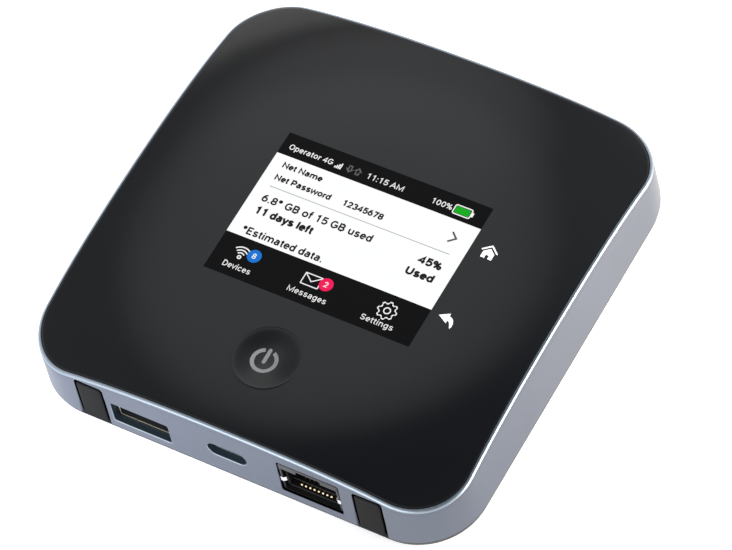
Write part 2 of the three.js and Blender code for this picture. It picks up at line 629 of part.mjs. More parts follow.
for (const [side, x] of Object.entries(FLAP_PLACES)) {
  add(`antenna_socket_${side}`, antennaSocket(x), GOLD);
  const pinBack = SOCKET.flange + 0.85;
  add(`antenna_pin_${side}`, frontwards(x, SOCKET.z, SOCKET.pin, SOCKET.front + 1, pinBack, 10), GOLD);
  add(`antenna_flap_${side}`, antennaFlap(x), RUBBER);
}

// ---- battery, card and back cover ---------------------------------------------------------------

const BATTERY_MIDDLE = (BATTERY.front + BATTERY.back) / 2;
const BATTERY_DEPTH = BATTERY.back - BATTERY.front;

function batteryPack() {
  const pack = upPrism(roundedShape(BATTERY.width, BATTERY_DEPTH, 2), 0, BATTERY_MIDDLE,
    BATTERY.low, BATTERY.high);
  return cut(pack, box(-6.2, 6.2, BATTERY.front - 1, BATTERY.front + 0.6, 4.3, 8.3));
}

function contactBlock() {
  const width = CONTACT_BLOCK_WIDTH;
  const body = box(-width / 2, width / 2, BATTERY.front - 4.5, BATTERY.front - 1, 3.6, BOARD.low - 0.1);
  const fingers = [-4.5, -1.5, 1.5, 4.5].map((x) =>
    box(x - 0.5, x + 0.5, BATTERY.front - 1.5, BATTERY.front - 0.3, 5.2, 7.4));
  return join(body, ...fingers);
}

const CARD = { x: 42.6, width: 8.8, length: 12.3, front: -4.3, low: 8.9, high: 9.57, wall: 0.4 };

function cardHolder() {
  const back = CARD.front + CARD.length;
  const halfSlot = CARD.width / 2 + 0.2;
  const outer = box(CARD.x - halfSlot - 1, CARD.x + halfSlot + 1, CARD.front + 1.5, back + 0.9,
    CARD.low - 0.7, FRAME_PLATE.low - 0.1);
  const slot = box(CARD.x - halfSlot, CARD.x + halfSlot, CARD.front - 1, back + 0.3,
    CARD.low - 0.2, CARD.high + 0.2);
  const thumbCut = block(CARD.x, CARD.front, 5, 7, 0, CARD.low + 0.1);
  return cut(outer, slot, thumbCut);
}

const COVER_LIP_WALL = 1.0;
const COVER_LIP_TOP = 4.8;
const COVER_FLOOR = 1.4;
const PRY_NOTCH = { half: 6, depth: 0.9, low: 1.9 };

function backCover() {
  const lipInner = { half: COVER_LIP.half - COVER_LIP_WALL, corner: COVER_LIP.corner - COVER_LIP_WALL };
  const cover = loft([
    ringAt(FOOTPRINT, 0),
    ringAt({ half: 50.9, corner: 13.2 }, 0.55),
    ringAt({ half: 52.1, corner: 14.4 }, 1.7),
    ringAt({ half: 52.55, corner: 14.85 }, SEAM - GAP / 2),
    ringAt(COVER_LIP, SEAM - GAP / 2),
    ringAt(COVER_LIP, COVER_LIP_TOP),
    ringAt(lipInner, COVER_LIP_TOP),
    ringAt(lipInner, COVER_FLOOR),
  ]);
  const pryNotch = box(-PRY_NOTCH.half, PRY_NOTCH.half, WIDEST.half - PRY_NOTCH.depth, WIDEST.half + 1,
    PRY_NOTCH.low, SEAM + 1);
  const flapReliefs = Object.values(FLAP_PLACES).map((x) =>
    block(x, -WIDEST.half + 1.5, FLAP.width + 1.2, 3.4, SEAM - 0.2, 6));
  return cut(cover, pryNotch, ...flapReliefs);
}

add('battery_pack', batteryPack(), BATTERY_WRAP);
add('battery_terminals', box(-6, 6, BATTERY.front + 0.15, BATTERY.front + 0.5, 4.5, 8.1), GOLD);
add('battery_contact_block', contactBlock(), BLACK_PLASTIC);
add('sim_holder', cardHolder(), STEEL);
add('sim_card', block(CARD.x, CARD.front + CARD.length / 2, CARD.width, CARD.length,
  CARD.low, CARD.high), CARD_WHITE);
add('back_cover', backCover(), DARK_PLASTIC);

// ---- antennas and screws ------------------------------------------------------------------------

// Antenna strips stand just inside the housing wall.
const STRIP = { inner: 49.1, outer: 49.5, low: 12.0, high: 15.6 };

function sideStrip(side, front, back) {
  const faces = [side * STRIP.inner, side * STRIP.outer];
  return box(Math.min(...faces), Math.max(...faces), front, back, STRIP.low, STRIP.high);
}

add('cellular_antenna_rear', box(-30, 30, STRIP.inner, STRIP.outer, STRIP.low, STRIP.high), POLYIMIDE);
add('cellular_antenna_left', sideStrip(-1, -24, 24), POLYIMIDE);
add('local_antenna_right_front', sideStrip(1, -26, -4), POLYIMIDE);
add('local_antenna_right_rear', sideStrip(1, 4, 26), POLYIMIDE);

SCREW_PLACES.forEach(([x, y], index) => {
  const head = upright(x, y, SCREW.head, FRAME_PLATE.low - 1.0, FRAME_PLATE.low - 0.1);
  const shank = upright(x, y, SCREW.shank, FRAME_PLATE.low - 0.5, FRAME_PLATE.low + SCREW.length, 12);
  const slotTop = FRAME_PLATE.low - 0.6;
  const slots = [block(x, y, SCREW.slot, 0.35, 0, slotTop), block(x, y, 0.35, SCREW.slot, 0, slotTop)];
  add(`frame_screw_${index + 1}`, cut(join(head, shank), ...slots), STEEL);
});

export default hotspot;
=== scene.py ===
"""Looks of the mobile hotspot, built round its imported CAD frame.

Shapes are worked out in millimetres, in the CAD frame: +Z up through the display, -Y towards the ports.
"""
import json
import math

import bmesh
import bpy
from mathutils import Matrix, Vector


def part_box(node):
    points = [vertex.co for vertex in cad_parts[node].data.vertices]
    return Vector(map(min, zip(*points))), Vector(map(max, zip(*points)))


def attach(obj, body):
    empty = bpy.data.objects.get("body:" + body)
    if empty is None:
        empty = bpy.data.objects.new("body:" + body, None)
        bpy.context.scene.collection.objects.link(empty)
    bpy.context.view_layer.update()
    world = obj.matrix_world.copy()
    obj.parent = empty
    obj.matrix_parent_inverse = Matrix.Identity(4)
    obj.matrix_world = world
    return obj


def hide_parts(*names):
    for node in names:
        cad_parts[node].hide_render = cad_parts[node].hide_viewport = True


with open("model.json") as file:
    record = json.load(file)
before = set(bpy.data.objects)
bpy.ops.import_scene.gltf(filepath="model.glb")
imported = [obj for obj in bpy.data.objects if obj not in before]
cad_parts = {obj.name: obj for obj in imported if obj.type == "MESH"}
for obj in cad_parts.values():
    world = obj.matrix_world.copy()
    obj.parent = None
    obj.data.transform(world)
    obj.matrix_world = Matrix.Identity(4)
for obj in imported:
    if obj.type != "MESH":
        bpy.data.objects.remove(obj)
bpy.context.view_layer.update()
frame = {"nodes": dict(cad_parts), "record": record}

MM = 0.001


def box_mm(name):
    """Lowest and highest corner of a CAD node, in millimetres."""
    low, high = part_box(name)
    return low / MM, high / MM


# ---- sizes, from the frame -----------------------------------------------------------------------

HOUSING_LOW, HOUSING_HIGH = box_mm("side_housing")
WINDOW_LOW, WINDOW_HIGH = box_mm("display_window")
BUTTON_LOW, BUTTON_HIGH = box_mm("power_button")

WIDEST = HOUSING_HIGH.x
PANEL_HALF = box_mm("front_panel")[1].x
TOP = 20.35
SEAM = HOUSING_LOW.z

# Half sides and corner radii of the rounded squares that the body is made of.
WIDEST_CORNER = 15.1
RIM_HALF, RIM_CORNER = 52.0, 13.3
PANEL_CORNER = 12.35
INNER_HALF, INNER_CORNER = 49.9, 11.2
SKIRT_HALF, SKIRT_CORNER = 50.5, 11.8
SHELF_LEVEL, SKIRT_LEVEL = 11.6, 9.6

# The domed top is flat under the display and droops towards the corners.
DOME_DROOP = 1.44
DOME_POWER = 4.76

PANEL_THICKNESS = 1.4
WALL_LEVEL = 3.6

BUTTON_X = (BUTTON_LOW.x + BUTTON_HIGH.x) / 2
BUTTON_Y = (BUTTON_LOW.y + BUTTON_HIGH.y) / 2
BUTTON_RADIUS = 7.5
DISH_DEPTH = 0.72
DISH_POWER = 1.4
DISH_RIM = 0.04

SCREEN_MARGIN = 0.15
SCREEN_LEFT = WINDOW_LOW.x - SCREEN_MARGIN
SCREEN_TOP = WINDOW_HIGH.y + SCREEN_MARGIN
SCREEN_WIDTH = WINDOW_HIGH.x - WINDOW_LOW.x + 2 * SCREEN_MARGIN
SCREEN_HEIGHT = WINDOW_HIGH.y - WINDOW_LOW.y + 2 * SCREEN_MARGIN


def dome(x, y):
    """Height of the domed top at a place on the plan."""
    return TOP - DOME_DROOP * (math.hypot(x, y) / PANEL_HALF) ** DOME_POWER


def below_dome(drop):
    return lambda x, y: dome(x, y) - drop


def wall_half(z):
    """Half width of the body's side wall at a height: it leans in a little towards the rim."""
    share = max(0.0, min(1.0, (z - WALL_LEVEL) / (TOP - 1.0 - WALL_LEVEL)))
    return WIDEST - (WIDEST - RIM_HALF) * share


# ---- materials -----------------------------------------------------------------------------------

CLOUD_SIZE = 18.0
NOISE_RANGE = (0.3, 0.7)


def node(tree, kind, inputs=None, **settings):
    """A shader node, each of whose inputs is a value or the socket that feeds it."""
    made = tree.nodes.new("ShaderNode" + kind)
    for key, value in settings.items():
        setattr(made, key, value)
    for key, value in (inputs or {}).items():
        if isinstance(value, bpy.types.NodeSocket):
            tree.links.new(value, made.inputs[key])
        else:
            made.inputs[key].default_value = value
    return made


def mapped(tree, value, source, target, kind="LINEAR"):
    """Maps a value from one range onto another, held at the ends."""
    inputs = {"Value": value, "From Min": source[0], "From Max": source[1], "To Min": target[0],
              "To Max": target[1]}
    return node(tree, "MapRange", inputs, interpolation_type=kind).outputs["Result"]


def dot(tree, one, other):
    return node(tree, "VectorMath", {0: one, 1: other}, operation="DOT_PRODUCT").outputs["Value"]


def maths(tree, operation, one, other):
    return node(tree, "Math", {0: one, 1: other}, operation=operation).outputs["Value"]


def blend(tree, share, one, other):
    inputs = {"Factor": share, "A": one, "B": other}
    return node(tree, "Mix", inputs, data_type="RGBA").outputs["Result"]


def noise(tree, place, size_mm, detail=2.0):
    """A noise texture whose features are about size_mm across."""
    inputs = {"Vector": place, "Scale": 1.0 / (size_mm * MM), "Detail": detail}
    return node(tree, "TexNoise", inputs).outputs["Fac"]


def edge_mask(tree, radius_mm):
    """1 along sharp edges and 0 on open surfaces."""
    rounded = node(tree, "Bevel", {"Radius": radius_mm * MM}, samples=4).outputs["Normal"]
    agreement = dot(tree, rounded, node(tree, "NewGeometry").outputs["Normal"])
    return mapped(tree, agreement, (0.98, 0.75), (0.0, 1.0))


def shade(color, factor, extra=0.0):
    return (*[min(1.0, channel * factor + extra) for channel in color], 1.0)


def finish(name, color, roughness, metallic=0.0, variation=0.06, grain=0.35, rough_variation=0.05,
           bump=0.0, bump_size=0.15, specular=0.5, edge_wear_and_sheen=0.0, glow=None, glow_strength=0.0):
    """A procedural finish: cloudy tone and fine grain in colour and roughness, with a fine surface bump."""
    material = bpy.data.materials.new(name)
    material.use_nodes = True
    material.diffuse_color = (*color, 1.0)
    tree = material.node_tree
    shader = tree.nodes["Principled BSDF"]
    place = node(tree, "TexCoord").outputs["Object"]
    fine = noise(tree, place, grain)
    half = (0.0, 0.5)
    cloudy = maths(tree, "ADD", mapped(tree, fine, NOISE_RANGE, half),
                   mapped(tree, noise(tree, place, CLOUD_SIZE), NOISE_RANGE, half))
    tone = blend(tree, cloudy, shade(color, 1.0 - variation), shade(color, 1.0 + variation))
    # Lightens the colour along edges: edge wear on most finishes, and on the flap rubber a painted highlight
    # along its rounded edges.
    if edge_wear_and_sheen:
        edge_lightening = maths(tree, "MULTIPLY", edge_mask(tree, 0.25), edge_wear_and_sheen)
        tone = blend(tree, edge_lightening, tone, shade(color, 2.2, 0.03))
    tree.links.new(tone, shader.inputs["Base Color"])
    rough = (max(0.02, roughness - rough_variation), roughness + rough_variation)
    tree.links.new(mapped(tree, fine, NOISE_RANGE, rough), shader.inputs["Roughness"])
    shader.inputs["Metallic"].default_value = metallic
    shader.inputs["Specular IOR Level"].default_value = specular
    if bump:
        relief = node(tree, "Bump", {"Strength": bump, "Distance": 0.02 * MM,
                                     "Height": noise(tree, place, bump_size, 3.0)})
        tree.links.new(relief.outputs["Normal"], shader.inputs["Normal"])
    if glow:
        shader.inputs["Emission Color"].default_value = (*glow, 1.0)
        shader.inputs["Emission Strength"].default_value = glow_strength
    return material


def lit(name, color):
    """A patch of the display that shines in its own colour."""
    return finish(name, [channel * 0.02 for channel in color], 0.25, variation=0.02,
                  rough_variation=0.01, specular=0.1, glow=color, glow_strength=1.0)


PAINT = finish("gunmetal_paint", (0.158, 0.177, 0.222), 0.38, metallic=1.0, variation=0.06,
               grain=0.12, rough_variation=0.05, bump=0.15, bump_size=0.1, edge_wear_and_sheen=0.1)
POLISHED_RIM = finish("polished_rim", (0.36, 0.42, 0.49), 0.32, metallic=1.0, variation=0.04,
                      grain=0.3, rough_variation=0.04, bump=0.05)
# Dark blue-grey walls inside the USB openings: painted shade in the recess, with a blue tint that stands for
# their lit floors.
SHADED_PORT_WALL = finish("port_wall_painted_shade", (0.024, 0.04, 0.056), 0.35, variation=0.15, bump=0.2)
# Steel darkened nearly to black: painted shade inside the network port.
SHADED_JACK_STEEL = finish("jack_steel_painted_shade", (0.08, 0.08, 0.084), 0.42, metallic=1.0, grain=0.5, bump=0.15)
NICKEL = finish("warm_nickel", (1.0, 0.87, 0.66), 0.35, metallic=1.0, grain=0.3, bump=0.08)
# Dark steel for the insides of the port shells: painted shade.
PAINTED_SHADE_STEEL = finish("shaded_steel", (0.035, 0.037, 0.04), 0.5, metallic=0.6, variation=0.1, bump=0.1)
GLOSS_BLACK = finish("gloss_black", (0.006, 0.0065, 0.008), 0.12, variation=0.1,
                     rough_variation=0.01, bump=0.01, bump_size=6.0)
SATIN_BLACK = finish("satin_black", (0.0075, 0.008, 0.0095), 0.16, variation=0.1,
                     rough_variation=0.02, bump=0.02, bump_size=1.0, specular=0.55)
# Its strong edge lightening is a painted highlight on the flap's rounded edges.
RUBBER = finish("flap_rubber", (0.006, 0.0063, 0.0068), 0.6, variation=0.25, grain=0.2,
                bump=0.8, bump_size=0.14, edge_wear_and_sheen=0.7, specular=0.12)
# A near-black finish without sheen: painted shade in the gaps round the flaps, in the flap openings and in
# the network port's wall.
PAINTED_GAP_SHADE = finish("painted_gap_shade", (0.002, 0.002, 0.0022), 0.9, specular=0.0)
DARK_PLASTIC = finish("cover_plastic", (0.02, 0.021, 0.023), 0.5, variation=0.1, grain=0.25,
                      bump=0.6, bump_size=0.18, edge_wear_and_sheen=0.25)
BLACK_PLASTIC = finish("socket_plastic", (0.006, 0.006, 0.007), 0.42, bump=0.2, edge_wear_and_sheen=0.1)
STEEL = finish("sheet_steel", (0.56, 0.57, 0.59), 0.3, metallic=1.0, grain=0.5, bump=0.15, edge_wear_and_sheen=0.2)
SPRING_STEEL = finish("spring_steel", (0.82, 0.82, 0.83), 0.25, metallic=1.0, bump=0.1)
GOLD = finish("gold_plate", (0.78, 0.6, 0.37), 0.32, metallic=1.0, grain=0.2, bump=0.08, edge_wear_and_sheen=0.2)
WHITE_PRINT = finish("white_print", (0.85, 0.86, 0.87), 0.35, variation=0.02, glow=(0.9, 0.93, 0.95),
                     glow_strength=0.45)
GREY_PRINT = finish("grey_print", (0.22, 0.23, 0.24), 0.4, variation=0.04, glow=(0.3, 0.31, 0.33),
                    glow_strength=0.08)
BOARD = finish("solder_mask", (0.012, 0.09, 0.04), 0.35, variation=0.25, grain=1.5, bump=0.3)
TIN = finish("tin_plate", (0.6, 0.61, 0.63), 0.38, metallic=1.0, grain=1.0, bump=0.2, edge_wear_and_sheen=0.2)
GRAPHITE = finish("graphite", (0.05, 0.052, 0.056), 0.45, metallic=0.4, grain=0.6, bump=0.3)
SILICONE = finish("silicone", (0.5, 0.53, 0.56), 0.6, bump=0.4)
FOAM = finish("foam", (0.014, 0.014, 0.015), 0.9, bump=1.0, bump_size=0.3)
POLYIMIDE = finish("polyimide", (0.36, 0.15, 0.03), 0.3, variation=0.15, grain=1.2, bump=0.1)
BATTERY_WRAP = finish("battery_sleeve", (0.028, 0.03, 0.034), 0.42, variation=0.12, bump=0.35)
CARD = finish("card_plastic", (0.72, 0.74, 0.77), 0.3, variation=0.03, bump=0.05)
GLASS = finish("display_glass", (0.008, 0.01, 0.013), 0.08, variation=0.1, rough_variation=0.01)

# The finish of each material slot that the CAD parts name.
SLOT_MATERIALS = {
    "painted_housing": PAINT, "gloss_black": GLOSS_BLACK, "display_glass": GLASS, "white_print": WHITE_PRINT,
    "grey_print": GREY_PRINT, "rubber": RUBBER, "dark_plastic": DARK_PLASTIC, "black_plastic": BLACK_PLASTIC,
    "steel": STEEL, "spring_steel": SPRING_STEEL, "gold_plate": GOLD, "circuit_board": BOARD,
    "tin_plate": TIN, "graphite": GRAPHITE, "silicone": SILICONE, "foam": FOAM, "polyimide": POLYIMIDE,
    "battery_wrap": BATTERY_WRAP, "card_plastic": CARD,
}


# ---- mesh building -------------------------------------------------------------------------------

def rounded_square(half, corner, steps=16, side_steps=20):
    """Counter-clockwise points of a rounded square."""
    points = []
    middle = half - corner
    for quarter in range(4):
        turn = Matrix.Rotation(quarter * math.pi / 2, 2)
        for step in range(steps + 1):
            angle = step / steps * math.pi / 2
            place = Vector((middle + corner * math.cos(angle), middle + corner * math.sin(angle)))
            points.append(turn @ place)
        for step in range(1, side_steps):
            points.append(turn @ Vector((middle * (1 - 2 * step / side_steps), half)))
    return points


def rounded_rectangle(width, height, radius, steps=8):
    """Counter-clockwise points of a rounded rectangle round the origin."""
    points = []
    radius = min(radius, width / 2 - 1e-4, height / 2 - 1e-4)
    for quarter, (sx, sy) in enumerate(((1, 1), (-1, 1), (-1, -1), (1, -1))):
        for step in range(steps + 1):
            angle = (quarter + step / steps) * math.pi / 2
            points.append(Vector((sx * (width / 2 - radius) + radius * math.cos(angle),
                                  sy * (height / 2 - radius) + radius * math.sin(angle))))
    return points


def ring(points, level):
    """Lifts plan points to a level, which is a number or a function of x and y."""
    height = level if callable(level) else lambda x, y: level
    return [Vector((p.x, p.y, height(p.x, p.y))) for p in points]


def square_ring(half, corner, level):
    return ring(rounded_square(half, corner), level)


def wall_ring(points, x, z, depth):
    """Stands points (across, up) on the front wall at depth y, a number or a function of z."""
    place = depth if callable(depth) else lambda up: depth
    return [Vector((x + p.x, place(z + p.y), z + p.y)) for p in points]


def turned(profile, steps, place):
    """Rings of a (radius, along) profile turned about a line; place puts (across, up, along) in space."""
    angles = [2 * math.pi * step / steps for step in range(steps)]
    return [[Vector(place(radius * math.cos(angle), radius * math.sin(angle), along)) for angle in angles]
            for radius, along in profile]


def turned_upright(profile, x, y, steps):
    return turned(profile, steps, lambda across, up, along: (x + across, y + up, along))


def turned_along_y(profile, x, z):
    return turned(profile, 48, lambda across, up, along: (x + across, along, z + up))


def loft(rings, annular=False):
    """Vertices and faces of the skin over a list of rings, joined round or capped at both ends."""
    count = len(rings[0])
    vertices = [point for one in rings for point in one]
    faces = []
    for low_ring in range(len(rings) if annular else len(rings) - 1):
        low, high = low_ring * count, (low_ring + 1) % len(rings) * count
        for step in range(count):
            following = (step + 1) % count
            faces.append((low + step, low + following, high + following, high + step))
    if not annular:
        last = (len(rings) - 1) * count
        faces.append(tuple(range(count - 1, -1, -1)))
        faces.append(tuple(range(last, last + count)))
    return vertices, faces


def link(obj):
    bpy.context.scene.collection.objects.link(obj)
    return obj


def weld(mesh, distance, dissolve=False):
    """Welds a mesh's doubled points and turns its faces outwards."""
    welded = bmesh.new()
    welded.from_mesh(mesh)
    bmesh.ops.remove_doubles(welded, verts=welded.verts, dist=distance)
    if dissolve:
        bmesh.ops.dissolve_degenerate(welded, edges=welded.edges, dist=distance)
    bmesh.ops.recalc_face_normals(welded, faces=welded.faces)
    welded.to_mesh(mesh)
    welded.free()


def make(name, vertices, faces, material, angle=30.0):
    """A mesh object from millimetre vertices, its faces turned outwards and smoothed below an angle."""
    mesh = bpy.data.meshes.new(name)
    mesh.from_pydata([Vector(v) * MM for v in vertices], [], faces)
    weld(mesh, 1e-7)
    obj = link(bpy.data.objects.new(name, mesh))
    mesh.materials.append(material)
    smooth(obj, angle)
    return obj


def smooth(obj, angle=30.0):
    """Smooth shading, broken at edges sharper than an angle."""
    obj.data.polygons.foreach_set("use_smooth", [True] * len(obj.data.polygons))
    obj.data.set_sharp_from_angle(angle=math.radians(angle))


def soften(obj, width):
    """Rounds an object's edges and keeps its flat faces flat."""
    bevel = obj.modifiers.new("rounding", "BEVEL")
    bevel.width = width * MM
    bevel.segments = 2
    bevel.limit_method = "ANGLE"
    bevel.angle_limit = math.radians(35)
    bevel.use_clamp_overlap = True
    bevel.harden_normals = True
    return obj


def settle(obj):
    """Replaces an object's mesh by what its modifiers make of it."""
    graph = bpy.context.evaluated_depsgraph_get()
    mesh = bpy.data.meshes.new_from_object(obj.evaluated_get(graph), preserve_all_data_layers=True,
                                           depsgraph=graph)
    obj.modifiers.clear()
    obj.data = mesh


def combine(obj, operation, others, **settings):
    """Cuts other objects out of an object or joins them to it, and deletes them."""
    for other in others:
        modifier = obj.modifiers.new(operation.lower(), "BOOLEAN")
        modifier.operation = operation
        modifier.solver = "EXACT"
        modifier.object = other
        for key, value in settings.items():
            setattr(modifier, key, value)
    settle(obj)
    for other in others:
        bpy.data.objects.remove(other)


def cut(obj, cutters, angle=30.0):
    combine(obj, "DIFFERENCE", cutters, material_mode="TRANSFER")
    smooth(obj, angle)


def block(name, low, high, material, rounding=0.0):
    """A box between two corners, with rounded edges."""
    (x0, y0, z0), (x1, y1, z1) = low, high
    plan = [Vector((x0, y0)), Vector((x1, y0)), Vector((x1, y1)), Vector((x0, y1))]
    obj = make(name, *loft([ring(plan, z0), ring(plan, z1)]), material)
    return soften(obj, rounding) if rounding else obj


def join_pieces(name, objects):
    """One object made of several separate closed bodies."""
    with bpy.context.temp_override(active_object=objects[0], selected_editable_objects=objects):
        bpy.ops.object.join()
    objects[0].name = name
    return objects[0]


def place_piece(obj, body, slot, *nodes):
    """Rides a piece on a body and hides the CAD nodes that it stands for; its slot is not used."""
    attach(obj, body)
    if nodes:
        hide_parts(*nodes)


# ---- side housing --------------------------------------------------------------------------------

# The network port's wall takes the near-black painted shade.
NETWORK_PORT = {"x": 20.1, "z": 10.4, "width": 14.8, "height": 10.5, "radius": 0.7, "mouth": PAINT,
                "wall": PAINTED_GAP_SHADE}
# The USB ports' mouths take the brighter rim metal instead of the paint: a painted highlight on their flares.
USB_A_PORT = {"x": -21.4, "z": 8.7, "width": 14.2, "height": 6.3, "radius": 0.5, "mouth": POLISHED_RIM,
              "wall": SHADED_PORT_WALL}
USB_C_PORT = {"x": 0.1, "z": 10.5, "width": 9.5, "height": 3.8, "radius": 1.9, "mouth": POLISHED_RIM,
              "wall": SHADED_PORT_WALL}
# A port's mouth, as shares of the flare: how far it opens and how deep it lies.
FLARE = 0.22
FLARE_STEPS = ((1.0, 0.6), (1.0, 0.0), (0.62, -0.08), (0.29, -0.29), (0.08, -0.62), (0.0, -1.0), (0.0, -14.0))
# A flap is smaller than its CAD box by the play, and its opening is wider than that box by the gap.
FLAP_PLAY = 0.3
FLAP_GAP = 0.2
FLAP_CORNER = 0.9
# A flap opening's mouth, in millimetres.
FLAP_STEPS = ((0.16, 0.6), (0.16, 0.0), (0.05, -0.06), (0.0, -0.18), (0.0, -3.0))
FLAP_OPENING_HEIGHT = 20.0


def port_cutter(port):
    """A tool that cuts a port through the front wall, with a rounded mouth."""
    width, height, radius = port["width"], port["height"], port["radius"]
    rings = []
    for share, depth in FLARE_STEPS:
        grow = FLARE * share
        outline = rounded_rectangle(width + 2 * grow, height + 2 * grow, radius + grow, 10)
        rings.append(wall_ring(outline, port["x"], port["z"],
                               lambda z, depth=depth: -wall_half(z) - depth * FLARE))
    return port_tool(rings, 5, port["mouth"], port["wall"])


def port_tool(rings, flare_bands, mouth_material, wall_material):
    """A cutter whose first bands leave one material behind, and whose deeper bands another."""
    tool = make("cutter", *loft(rings), mouth_material)
    tool.data.materials.append(wall_material)
    deepest_flare = max(point.y for point in rings[flare_bands]) * MM
    for face in tool.data.polygons:
        if face.center.y > deepest_flare:
            face.material_index = 1
    return tool


def flap_bounds(side):
    return box_mm(f"antenna_flap_{side}")


def flap_cutter(side):
    low, high = flap_bounds(side)
    middle = (low.x + high.x) / 2
    width = high.x - low.x + 2 * FLAP_GAP
    rings = []
    for grow, depth in FLAP_STEPS:
        outline = rounded_rectangle(width + 2 * grow, FLAP_OPENING_HEIGHT, FLAP_CORNER + grow, 8)
        rings.append(wall_ring(outline, middle, high.z + FLAP_GAP - FLAP_OPENING_HEIGHT / 2,
                               lambda z, depth=depth: -wall_half(z) - depth))
    # Past its mouth, the opening's wall takes the near-black painted shade.
    return port_tool(rings, 3, PAINT, PAINTED_GAP_SHADE)


# The housing's foot (inset and rise) and the round of its rim (inset and drop below the dome).
HOUSING_FOOT = ((0.3, 0.0), (0.1, 0.06), (0.0, 0.25))
RIM_ROUND = ((0.04, 0.42), (0.14, 0.26), (0.3, 0.13), (0.5, 0.07), (0.72, 0.05))
WALL_DROP = 0.62
SEAT_HALF, SEAT_CORNER = PANEL_HALF + 0.12, PANEL_CORNER + 0.12
SEAT_DROP = PANEL_THICKNESS + 0.1


def wall_level(share):
    """Height of the side wall from its foot, which is level, to its top, which follows the dome."""
    return lambda x, y: WALL_LEVEL + (dome(x, y) - WALL_DROP - WALL_LEVEL) * share


def build_housing():
    """The painted frame, from its foot up the wall and over the rim, then down its inside."""
    rings = [square_ring(WIDEST - inset, WIDEST_CORNER - inset, SEAM + rise) for inset, rise in HOUSING_FOOT]
    levels = 8
    for share in [step / levels for step in range(levels + 1)]:
        rings.append(square_ring(WIDEST - (WIDEST - RIM_HALF) * share,
                                 WIDEST_CORNER - (WIDEST_CORNER - RIM_CORNER) * share, wall_level(share)))
    rings += [square_ring(RIM_HALF - inset, RIM_CORNER - inset, below_dome(drop))
              for inset, drop in RIM_ROUND]
    rings += [
        square_ring(SEAT_HALF + 0.03, SEAT_CORNER + 0.03, below_dome(0.09)),
        square_ring(SEAT_HALF, SEAT_CORNER, below_dome(0.18)),
        square_ring(SEAT_HALF, SEAT_CORNER, below_dome(SEAT_DROP)),
        square_ring(INNER_HALF, INNER_CORNER, below_dome(SEAT_DROP)),
        square_ring(INNER_HALF, INNER_CORNER, SHELF_LEVEL),
        square_ring(SKIRT_HALF, SKIRT_CORNER, SKIRT_LEVEL),
        square_ring(SKIRT_HALF, SKIRT_CORNER, SEAM),
    ]
    housing = make("housing_shell", *loft(rings, annular=True), PAINT)
    ports = [port_cutter(port) for port in (NETWORK_PORT, USB_A_PORT, USB_C_PORT)]
    cut(housing, ports + [flap_cutter(side) for side in ("left", "right")], 25.0)
    polish_rim(housing)
    place_piece(housing, "housing", "painted_housing", "side_housing")


def polish_rim(housing):
    """The narrow round between the wall and the panel is bright metal."""
    housing.data.materials.append(POLISHED_RIM)
    rim = len(housing.data.materials) - 1
    depth, least_upward, most_outward = 0.36, 0.1, 0.995
    for face in housing.data.polygons:
        x, y, z = face.center / MM
        outward = math.hypot(face.normal.x, face.normal.y)
        if z > dome(x, y) - depth and face.normal.z > least_upward and outward < most_outward:
            face.material_index = rim


build_housing()


# ---- front panel and power button ----------------------------------------------------------------

def build_panel():
    """The domed panel, with its rings closer together towards the edge, where it bends most."""
    bands, innermost, crowding = 26, 0.04, 1.5
    shares = [innermost + (1 - innermost) * (1 - (1 - step / bands) ** crowding) for step in range(bands)]
    rings = [square_ring(PANEL_HALF * share, PANEL_CORNER * share, below_dome(PANEL_THICKNESS))
             for share in shares]
    for inset, drop in ((0.0, PANEL_THICKNESS), (0.0, 0.14), (0.04, 0.04), (0.14, 0.0)):
        rings.append(square_ring(PANEL_HALF - inset, PANEL_CORNER - inset, below_dome(drop)))
    rings += [square_ring(PANEL_HALF * share, PANEL_CORNER * share, dome) for share in reversed(shares)]
    panel = make("front_panel_shell", *loft(rings), GLOSS_BLACK)
    gap = 0.02
    below, above = 10, 30
    screen = block("cutter", (SCREEN_LEFT - gap, SCREEN_TOP - SCREEN_HEIGHT - gap, below),
                   (SCREEN_LEFT + SCREEN_WIDTH + gap, SCREEN_TOP + gap, above), GLOSS_BLACK)
    hole_radius = BUTTON_RADIUS + 0.015
    hole = make("cutter", *loft(turned_upright([(hole_radius, below), (hole_radius, above)],
                                               BUTTON_X, BUTTON_Y, 128)), GLOSS_BLACK)
    cut(panel, [screen, hole])
    place_piece(panel, "housing", "gloss_black", "front_panel")


BUTTON_TOP = dome(BUTTON_X, BUTTON_Y) - 0.01


def dish(x, y):
    """Height of the power button's dished face."""
    share = min(1.0, math.hypot(x - BUTTON_X, y - BUTTON_Y) / (BUTTON_RADIUS - DISH_RIM))
    return BUTTON_TOP - DISH_DEPTH * (1 - share ** 2) ** DISH_POWER


def build_button():
    """The button, turned in one piece: a stem, a flange that holds it under the panel, and a dished cap."""
    axis, stem, flange = 0.01, 1.4, BUTTON_RADIUS + 0.9
    foot, flange_low, flange_high = BUTTON_LOW.z, 17.9, 18.4
    profile = [(axis, foot), (stem - 0.2, foot), (stem, foot + 0.2), (stem, flange_low), (flange, flange_low),
               (flange, flange_high), (BUTTON_RADIUS, flange_high), (BUTTON_RADIUS, BUTTON_TOP)]
    steps = 30
    for step in range(steps):
        radius = (BUTTON_RADIUS - DISH_RIM) * (1 - step / steps)
        profile.append((radius, dish(BUTTON_X + radius, BUTTON_Y)))
    profile.append((axis, dish(BUTTON_X, BUTTON_Y)))
    cap = make("power_button_cap", *loft(turned_upright(profile, BUTTON_X, BUTTON_Y, 128)), SATIN_BLACK)
    place_piece(cap, "power_button", "gloss_black", "power_button")


build_panel()
build_button()


# ---- printed marks and display picture -----------------------------------------------------------

